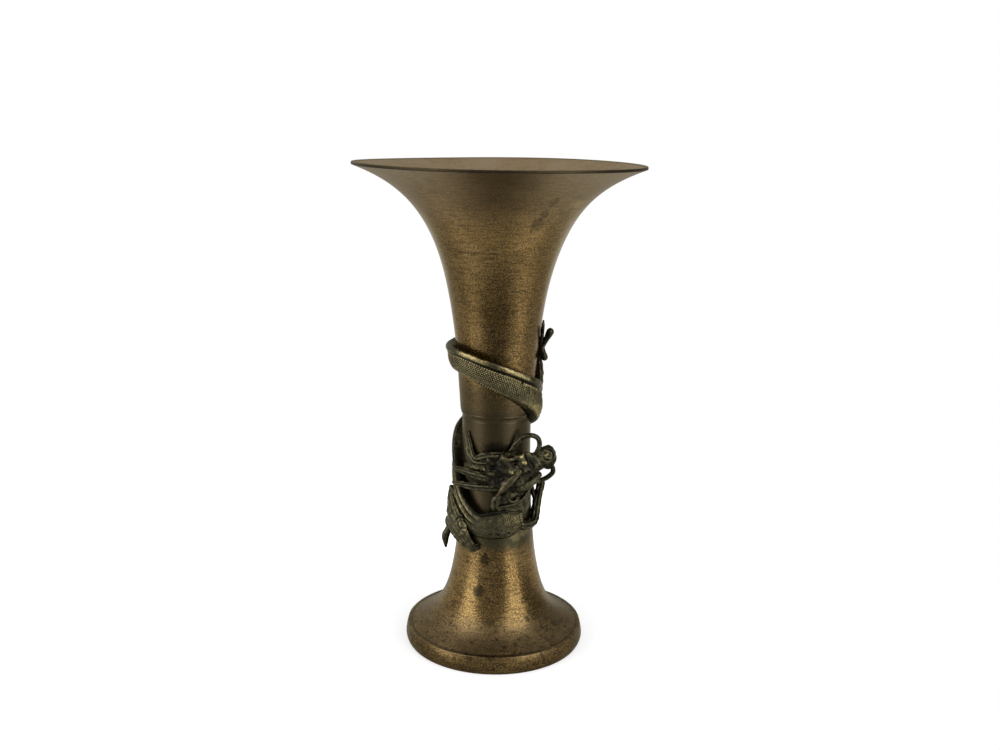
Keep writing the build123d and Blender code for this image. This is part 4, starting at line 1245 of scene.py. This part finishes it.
class VASE_OT_vessel(bpy.types.Operator):
    """Turns the trumpet, the waist ring, the stem and foot, and the plate in the foot"""

    bl_idname = "vase.vessel"
    bl_label = "Vessel"

    def execute(self, context):
        vessel, _, colours = settings_of(context)
        bronze = made_once(bpy.data.materials, aged_vessel_bronze, vessel, colours)
        for node, (profile, wear) in (
            ("trumpet", self.trumpet_profile(vessel)), ("waist_ring", self.ring_profile(vessel)),
            ("stem_foot", self.foot_profile(vessel)),
        ):
            rows = np.repeat(np.asarray(wear)[:, None], vessel.columns, axis=1)
            shape = (vessel.turned(profile), rows)
            make_piece("vase_" + node, [shape], bronze, node, closed_rows=True)
        plate = vessel.turned(self.plate_profile(vessel))
        dark_bronze = made_once(bpy.data.materials, dark_plate_bronze, colours)
        shape = (plate, even_wear(plate, PLAIN))
        make_piece("vase_base_plate", [shape], dark_bronze, "base_plate")
        return {"FINISHED"}

    def trumpet_profile(self, vessel):
        """Outer flare up, over the dark lip, down the dusty inside to the socket, with each row's wear."""
        spread = np.linspace(0, 1, TRUMPET_ROWS) ** ROW_CROWDING
        outer_z = JOINT_HEIGHT + (vessel.rim - JOINT_HEIGHT) * spread
        outer = np.column_stack([vessel.trumpet(outer_z), outer_z])
        socket_top = JOINT_HEIGHT + SOCKET_DEPTH
        spread = np.linspace(1, 0, TRUMPET_INSIDE_ROWS) ** ROW_CROWDING
        inner_z = socket_top + THROAT_WALL + (vessel.rim - socket_top - THROAT_WALL) * spread
        share = (inner_z - JOINT_HEIGHT) / (vessel.rim - JOINT_HEIGHT)
        inner = inset(vessel.trumpet, inner_z, THROAT_WALL + (LIP_WALL - THROAT_WALL) * share)
        inner[0] = (inner[0, 0], vessel.height)
        low, high = LIP_BEVELS
        lip = [
            (vessel.mouth - low, vessel.rim + low), (vessel.mouth, vessel.rim + LIP_ROUND),
            (vessel.mouth, vessel.height - LIP_ROUND), (vessel.mouth - high, vessel.height - high),
            (vessel.mouth - LIP_ROUND, vessel.height),
        ]
        socket = vessel.neck - THROAT_WALL
        foot = [(inner[-1, 0], socket_top), (socket, socket_top), (socket, JOINT_HEIGHT)]
        wear = [PLAIN] * len(outer) + LIP_WEAR + [DUSTY] * (len(inner) + len(foot) - 1)
        return np.concatenate([outer, lip, inner, foot]), wear

    def ring_profile(self, vessel):
        """A half-round bead over a slightly hollow band, with each row's wear."""
        inner = vessel.neck - THROAT_WALL
        low, bead_low = JOINT_HEIGHT - RING_HEIGHT, JOINT_HEIGHT - RING_BEAD_HEIGHT
        swing = np.linspace(-np.pi / 2, np.pi / 2, RING_BEAD_ROWS)
        bulge = RING_BEAD_HEIGHT / 4
        bead_r = RING_BEAD_RADIUS - bulge + bulge * np.cos(swing)
        bead_z = (bead_low + JOINT_HEIGHT) / 2 + RING_BEAD_HEIGHT / 2 * np.sin(swing)
        band_z = np.linspace(low, bead_low, RING_BAND_ROWS)
        band_r = RING_BAND_RADIUS - RING_HOLLOW * np.sin(np.pi * (band_z - low) / (bead_low - low))
        wear = [DARK_EDGE] + [PLAIN] * (RING_BAND_ROWS - 2) + [DARK_EDGE] * 2
        wear = wear + [BEAD_WEAR] * (RING_BEAD_ROWS - 3) + [RING_INSIDE_WEAR] * 4
        band, bead = np.column_stack([band_r, band_z]), np.column_stack([bead_r, bead_z])
        return np.concatenate([band, bead, [(inner, JOINT_HEIGHT), (inner, low)]]), wear

    def foot_profile(self, vessel):
        """Foot band, step, bell and stem up to the spigot, down the inside to the ledge, with the wear."""
        shoulder = JOINT_HEIGHT - RING_HEIGHT
        spigot = vessel.neck - THROAT_WALL - CLEARANCE
        bore = spigot - SPIGOT_WALL
        spigot_top = JOINT_HEIGHT + SOCKET_DEPTH - CLEARANCE
        band_z = np.linspace(0, BAND_HEIGHT, BAND_ROWS)
        band_r = vessel.foot + smooth_knots(BAND_CURVE, band_z / BAND_HEIGHT)[:, 0]
        band = np.column_stack([band_r, band_z])
        flare_low = BAND_HEIGHT + BAND_GROOVE
        edge = [
            (band_r[-1] - STEP_SET_BACK, BAND_HEIGHT + STEP_RISE),
            (BELL_RADIUS - BAND_GROOVE, BAND_HEIGHT + GROOVE_RISE),
        ]
        bell_z = shoulder + (flare_low - shoulder) * np.linspace(1, 0, BELL_ROWS) ** ROW_CROWDING
        bell = np.column_stack([vessel.bell(bell_z), bell_z])
        top = [(spigot, shoulder), (spigot, spigot_top), (bore, spigot_top), (bore, shoulder)]
        spread = np.linspace(0.05, 1, BELL_INSIDE_ROWS) ** ROW_CROWDING
        inner_z = shoulder + (flare_low + STEM_WALL - shoulder) * spread
        inner = inset(vessel.bell, inner_z, STEM_WALL)
        ledge = PLATE_RECESS + PLATE_THICKNESS
        rim_bore = vessel.foot - FOOT_RIM_WALL
        ledge_bore = rim_bore - PLATE_LEDGE
        base = [(ledge_bore, ledge + STEM_WALL), (ledge_bore, ledge), (rim_bore, ledge), (rim_bore, 0)]
        hidden = len(top) + len(inner) + len(base)
        wear = [PLAIN] * len(band) + STEP_WEAR + [PLAIN] * len(bell) + [DUSTY] * hidden
        return np.concatenate([band, edge, bell, top, inner, base]), wear

    def plate_profile(self, vessel):
        """A flat disc: its lower face out from the axis, then its upper face back."""
        spread = np.linspace(0.02, 1, PLATE_ROWS) * (vessel.foot - FOOT_RIM_WALL - CLEARANCE)
        top = PLATE_RECESS + PLATE_THICKNESS
        return [(r, PLATE_RECESS) for r in spread] + [(r, top) for r in spread[::-1]]


class VASE_OT_body(bpy.types.Operator):
    """Lays the dragon's scaled body on the wall in its four castings, and sets their fixing pins"""

    bl_idname = "vase.body"
    bl_label = "Dragon body"

    def execute(self, context):
        vessel, carving, colours = settings_of(context)
        for node, (start, end) in BODY_PIECES.items():
            dragon_piece(colours, node, [body_surface(vessel, carving, start, end)])
        pins = [self.pin(vessel, *place) for place in PIN_PLACES]
        dragon_piece(colours, "coil_pins", [(pin, even_wear(pin, PLAIN)) for pin in pins])
        return {"FINISHED"}

    def pin(self, vessel, angle, side):
        """A round pin square to the wall with a domed head: rings of radius r(h) up its length."""
        stand = smooth_knots(BODY_STAND, np.array([angle]))[0, 0]
        rise = smooth_knots(BODY_LINE, np.array([angle]))[0, 0] + side
        dome = np.linspace(0, PIN_DOME_SHARE * np.pi / 2, PIN_DOME_ROWS)
        radius = np.concatenate([[PIN_RADIUS], PIN_RADIUS * np.cos(dome)])
        top = PIN_TOP_SHARE * stand - PIN_SINK
        lift = np.concatenate([[-PIN_ROOT], top + PIN_DOME * np.sin(dome)])
        base = vessel.on_wall(np.array([float(angle)]), np.array([rise]), np.array([0.0]))[0]
        out, ring = wall_rings(angle, PIN_COLUMNS)
        return base + lift[:, None, None] * out + radius[:, None, None] * ring


class VASE_OT_head(bpy.types.Operator):
    """Carves the dragon's head, jaw, neck, cheek and eyes"""

    bl_idname = "vase.head"
    bl_label = "Dragon head"

    def execute(self, context):
        vessel, carving, colours = settings_of(context)
        dragon_piece(colours, "head", [self.head(vessel)])
        # The cheek spikes are lifted towards brass: wear and a painted highlight
        for node, line, strands, rub_and_shine in (
            ("lower_jaw", JAW_LINE, 0, 0.0), ("neck", NECK_LINE, 14, 0.0),
            ("cheek_spikes", SPIKE_LINE, 0, 0.16),
        ):
            limb, wear = limb_piece(vessel, carving, line, strands, twist=0.1, hug=node == "neck")
            dragon_piece(colours, node, [(limb, np.clip(wear + rub_and_shine, 0, 1))])
        dragon_piece(colours, "cheek_curl", [limb_piece(vessel, carving, self.curl_line(vessel))])
        eyes = [self.eye(vessel, stand) for stand in EYE_STANDS]
        dragon_piece(colours, "eyes", [(eye, even_wear(eye, EYE_WEAR)) for eye in eyes])
        return {"FINISHED"}

    def head(self, vessel):
        """A broad limb with bumps, a spiral nostril and lumps on its outer side, and its wear."""
        points = limb_surface(vessel, HEAD_LINE, rows=180, columns=150, start_round=0.5, end_round=1.0)[0]
        height, size = HEAD_LUMPS
        relief = bumps(points, HEAD_BUMPS) + height * lumps(points, size)
        relief = relief - NOSTRIL_DEPTH * spiral(points, *NOSTRIL)
        head, wear = carved(points, relief * facing(points), gain=0.25)
        # The head is made darker towards the nape
        wear = wear - HEAD_DIRT - NAPE_DARKENING * step_between(*NAPE_ZONE, wall_place(points)[0])
        return head, np.clip(wear + bumps(points, [NOSE_WEAR]), 0, 1)

    def curl_line(self, vessel):
        """Places round an open ring that lies along the wall."""
        angle, rise, stand = CURL_CENTRE
        wall = float(vessel.wall(np.array([JOINT_HEIGHT + rise]))[0]) + stand
        swing = np.radians(CURL_START + np.linspace(0, CURL_TURN, CURL_PLACES))
        places = angle + np.degrees(CURL_RADIUS * np.cos(swing) / wall)
        rises = rise + CURL_RADIUS * np.sin(swing)
        fixed = np.tile([stand, CURL_ROD, CURL_ROD], (len(swing), 1))
        return np.column_stack([places, rises, fixed])

    def eye(self, vessel, stand):
        """A ball: rings of radius R sin p at heights R cos p along the wall's outward line."""
        angle, rise = EYE_PLACE
        centre = vessel.on_wall(np.array([float(angle)]), np.array([rise]), np.array([stand]))[0]
        polar = np.linspace(EYE_POLE, np.pi - EYE_POLE, EYE_ROWS)[:, None, None]
        out, ring = wall_rings(angle, EYE_COLUMNS)
        return centre + EYE_RADIUS * (np.cos(polar) * out + np.sin(polar) * ring)


class VASE_OT_hair(bpy.types.Operator):
    """Draws out the dragon's whiskers, horns and mane"""

    bl_idname = "vase.hair"
    bl_label = "Whiskers, horns and mane"

    def execute(self, context):
        vessel, carving, colours = settings_of(context)
        for node, line, strands, rows in (
            ("upper_whisker", UPPER_WHISKER_LINE, 0, 140), ("lower_whisker", LOWER_WHISKER_LINE, 0, 200),
            ("upper_horn", UPPER_HORN_LINE, 5, 120), ("lower_horn", LOWER_HORN_LINE, 5, 120),
        ):
            limb = limb_piece(vessel, carving, line, strands, twist=0.12, rows=rows)
            dragon_piece(colours, node, [limb])
        dragon_piece(colours, "mane_locks", [
            limb_piece(vessel, carving, line, strands=6, twist=0.15, rows=110, columns=40)
            for line in MANE_LINES])
        return {"FINISHED"}


class VASE_OT_legs(bpy.types.Operator):
    """Models the dragon's legs, paws and claws"""

    bl_idname = "vase.legs"
    bl_label = "Legs and claws"

    def execute(self, context):
        vessel, carving, colours = settings_of(context)
        dragon_piece(colours, "foreleg_left", [self.whorled_leg(vessel)])
        for node, line, strands in (
            ("hind_leg_right", HIND_LEG_RIGHT_LINE, 8), ("hind_leg_left", HIND_LEG_LEFT_LINE, 8),
            ("foreleg_right", FORELEG_RIGHT_LINE, 6),
        ):
            limb = limb_piece(vessel, carving, line, strands, twist=0.1, rows=140, columns=48)
            dragon_piece(colours, node, [limb])
        for node, lines in (
            ("hind_paw_right", HIND_TOES_RIGHT), ("hind_paw_left", HIND_TOES_LEFT),
            ("fore_claw_left", FORE_TOES_LEFT), ("fore_claw_right", FORE_TOES_RIGHT),
        ):
            toes = [limb_piece(vessel, carving, line, rows=72, columns=28) for line in lines]
            dragon_piece(colours, node, toes)
        return {"FINISHED"}

    def whorled_leg(self, vessel):
        """The broad left foreleg: hair lines, a spiral whorl in their place on the thigh, and its wear
        with a painted highlight.
        """
        points, along, turn = limb_surface(vessel, FORELEG_LEFT_LINE, rows=150, columns=110)
        uneven = lumps(points)
        lines = (0.6 + 0.6 * uneven) * hair(along, turn, strands=13, twist=0.22)
        lines = lines * step_between(*THIGH_HAIR_START, along)
        angle, rise, reach, _ = WHORL
        round_whorl = bumps(points, [(angle, rise, reach, reach, 0, 1.0)])
        relief = THIGH_HAIR * lines * (1 - round_whorl) + THIGH_SWELL * round_whorl
        relief = relief + THIGH_LUMPS * uneven
        relief = relief - WHORL_DEPTH * spiral(points, *WHORL) * facing(points)
        leg, wear = carved(points, relief)
        return leg, np.clip(wear + bumps(points, [THIGH_RUB_AND_SHINE]), 0, 1)


class VASE_OT_stage(bpy.types.Operator):
    """Sets the pale floor, the studio light and the camera"""

    bl_idname = "vase.stage"
    bl_label = "Stage"

    def execute(self, context):
        stage = context.scene.stage_settings
        context.scene.view_settings.view_transform = "Standard"
        self.floor(context)
        self.world(context)
        self.camera(context, stage)
        for side, azimuth, elevation, distance, size, glossy in SOFTBOXES:
            lamp = self.light(context, "light_" + side, azimuth, elevation, distance, size)
            lamp.data.energy = getattr(stage, side + "_power")
            lamp.visible_glossy = glossy
        return {"FINISHED"}

    def floor(self, context):
        """A pale disc: rings of growing radius on the ground, closed in the middle."""
        turn = np.linspace(0, 2 * np.pi, FLOOR_COLUMNS, endpoint=False)
        radius = np.array(FLOOR_RINGS)[:, None]
        rings = np.stack([radius * np.sin(turn), -radius * np.cos(turn), 0 * radius * turn], axis=-1)
        vertices, quads, fans = grid_faces(rings, False, 0)
        mesh = bpy.data.meshes.new("floor")
        mesh.from_pydata(vertices[:-1].tolist(), [], quads.tolist() + fans[:FLOOR_COLUMNS].tolist())
        if mesh.polygons[0].normal.z < 0:
            mesh.flip_normals()
        mesh.materials.append(self.paper())
        floor = bpy.data.objects.new("floor", mesh)
        context.scene.collection.objects.link(floor)

    def paper(self):
        """Grey paper that takes the shadow: white to the camera, with a dimmer glow in the bronze.

        To the camera the glow is 0.6 under the vase and 1 farther out. In the bronze it is 0.05, with 0.45
        more behind the vase, 0.1 more before it and 0.18 more at its right, each from a distance on."""
        material, nodes, shader = new_material("floor_paper")
        place = nodes.place()
        away = nodes.calculate("VectorMath", "LENGTH", place).outputs["Value"]
        way = nodes.calculate("VectorMath", "NORMALIZE", place).outputs[0]
        way = nodes.add("SeparateXYZ", Vector=way).outputs
        path = nodes.add("LightPath").outputs
        rear = nodes.ramp(way["Y"], -0.95, -0.4)
        behind = nodes.times(nodes.ramp(away, 0.1, 0.22), rear)
        before = nodes.times(nodes.ramp(away, 0.072, 0.1), nodes.less(1.0, rear))
        right = nodes.times(nodes.ramp(away, 0.1, 0.2), nodes.ramp(way["X"], 0.2, 0.6))
        shown = nodes.plus(nodes.times_plus(behind, 0.45, 0.05), nodes.times(right, 0.18))
        shown = nodes.plus(shown, nodes.times(before, 0.1))
        seen = nodes.larger(path["Is Camera Ray"], path["Is Transmission Ray"])
        bright = nodes.times(seen, nodes.times_plus(nodes.ramp(away, 0.05, 0.2), 0.4, 0.6))
        glow = nodes.plus(bright, nodes.times(shown, path["Is Glossy Ray"]))
        for name, value in (
            ("Base Color", FLOOR_GREY), ("Roughness", 0.9), ("Specular IOR Level", 0.1),
            ("Emission Color", WHITE), ("Emission Strength", glow),
        ):
            nodes.feed(shader[name], value)
        return material

    def world(self, context):
        """White to the camera; the bronze shows a room above the horizon and a white table below it.

        Along a ray, x to the right, y away from the camera and z up: room = 0.56 - 0.3 x, less a quarter
        behind the camera; table = 0.18 near the camera to 1 beyond the vase, less 0.4 of it at the sides,
        times 0.94 - 0.12 x and 0.3 more at the right; the table takes over as z falls to -0.35."""
        world = bpy.data.worlds.new("studio")
        context.scene.world = world
        world.use_nodes = True
        world.node_tree.nodes.clear()
        nodes = Nodes(world.node_tree)
        path = nodes.add("LightPath").outputs
        x, y, z = nodes.add("SeparateXYZ", Vector=nodes.add("TexCoord").outputs["Generated"]).outputs
        room = nodes.times_plus(nodes.ramp(y, -0.5, -0.92), -0.25, 1.0)
        room = nodes.times(room, nodes.times_plus(x, -0.3, 0.56))
        sides = nodes.less(nodes.ramp(y, -0.35, 0.0), nodes.ramp(y, 0.55, 0.9))
        table = nodes.times_plus(nodes.ramp(y, -0.92, -0.35), 0.82, 0.18)
        table = nodes.times(table, nodes.times_plus(sides, -0.4, 1.0))
        slope = nodes.plus(nodes.times_plus(x, -0.12, 0.94), nodes.times(nodes.ramp(x, 0.15, 0.5), 0.3))
        low = nodes.ramp(z, 0.0, -0.35)
        table = nodes.times(nodes.times(table, slope), low)
        shown = nodes.plus(table, nodes.times(room, nodes.less(1.0, low)))
        seen = nodes.larger(path["Is Camera Ray"], path["Is Transmission Ray"])
        plain = nodes.less(1.0, nodes.larger(seen, path["Is Glossy Ray"]))
        level = nodes.larger(seen, nodes.times(path["Is Glossy Ray"], shown))
        level = nodes.plus(level, nodes.times(plain, PLAIN_LIGHT))
        light = nodes.add("Background", Color=WHITE, Strength=level)
        nodes.feed(nodes.add("OutputWorld").inputs["Surface"], light.outputs[0])

    def camera(self, context, stage):
        """A camera that looks along +Y, tilted down, with a slight lean."""
        pitch, roll = stage.pitch, stage.roll
        level = np.array([1.0, 0.0, 0.0])
        upright = np.array([0.0, math.sin(pitch), math.cos(pitch)])
        back = np.array([0.0, -math.cos(pitch), math.sin(pitch)])
        right = math.cos(roll) * level + math.sin(roll) * upright
        up = math.cos(roll) * upright - math.sin(roll) * level
        data = bpy.data.cameras.new("camera")
        data.sensor_width = SENSOR_WIDTH
        data.lens = stage.lens
        data.shift_x = stage.shift
        data.clip_start = 0.01
        camera = bpy.data.objects.new("camera", data)
        camera.matrix_world = placed((0.0, -stage.distance, stage.eye_height), right, up, back)
        context.scene.collection.objects.link(camera)
        context.scene.camera = camera

    def light(self, context, name, azimuth, elevation, distance, size):
        """A soft rectangular light aimed at the middle of the vase."""
        data = bpy.data.lights.new(name, "AREA")
        data.shape = "RECTANGLE"
        data.size, data.size_y = size
        level = math.radians(elevation)
        turn = np.array([float(azimuth)])
        out = outward(turn)[0] * math.cos(level) + np.array([0, 0, math.sin(level)])
        right = around(turn)[0]
        lamp = bpy.data.objects.new(name, data)
        place = out * distance + np.array(LIGHT_TARGET)
        lamp.matrix_world = placed(place, right, np.cross(out, right), out)
        lamp.visible_camera = False
        context.scene.collection.objects.link(lamp)
        return lamp


OPERATORS = (VASE_OT_vessel, VASE_OT_body, VASE_OT_head, VASE_OT_hair, VASE_OT_legs, VASE_OT_stage)


class VASE_PT_panel(bpy.types.Panel):
    """Lists the sizes, the colours and the steps that build the vase"""

    bl_idname = "VASE_PT_panel"
    bl_label = "Gu Vase"
    bl_space_type = "VIEW_3D"
    bl_region_type = "UI"
    bl_category = "Vase"

    def draw(self, context):
        scene = context.scene
        for group in (scene.vase_sizes, scene.dragon_sizes, scene.bronze_colours, scene.stage_settings):
            box = self.layout.box()
            for name in group.__annotations__:
                box.prop(group, name)
        for operator in OPERATORS:
            self.layout.operator(operator.bl_idname)


GROUPS = {
    "vase_sizes": VaseSizes, "dragon_sizes": DragonSizes, "bronze_colours": BronzeColours,
    "stage_settings": StageSettings,
}


def register():
    """Registers the settings, the operators and the panel."""
    for name, group in GROUPS.items():
        bpy.utils.register_class(group)
        setattr(bpy.types.Scene, name, PointerProperty(type=group))
    for item in (*OPERATORS, VASE_PT_panel):
        bpy.utils.register_class(item)


def unregister():
    """Removes what register added."""
    for item in reversed((*OPERATORS, VASE_PT_panel)):
        bpy.utils.unregister_class(item)
    for name, group in GROUPS.items():
        delattr(bpy.types.Scene, name)
        bpy.utils.unregister_class(group)


def main():
    """Builds the vase, then its stage."""
    register()
    bpy.ops.vase.vessel()
    bpy.ops.vase.body()
    bpy.ops.vase.head()
    bpy.ops.vase.hair()
    bpy.ops.vase.legs()
    bpy.ops.vase.stage()
    bpy.context.view_layer.update()


if __name__ == "__main__":
    main()
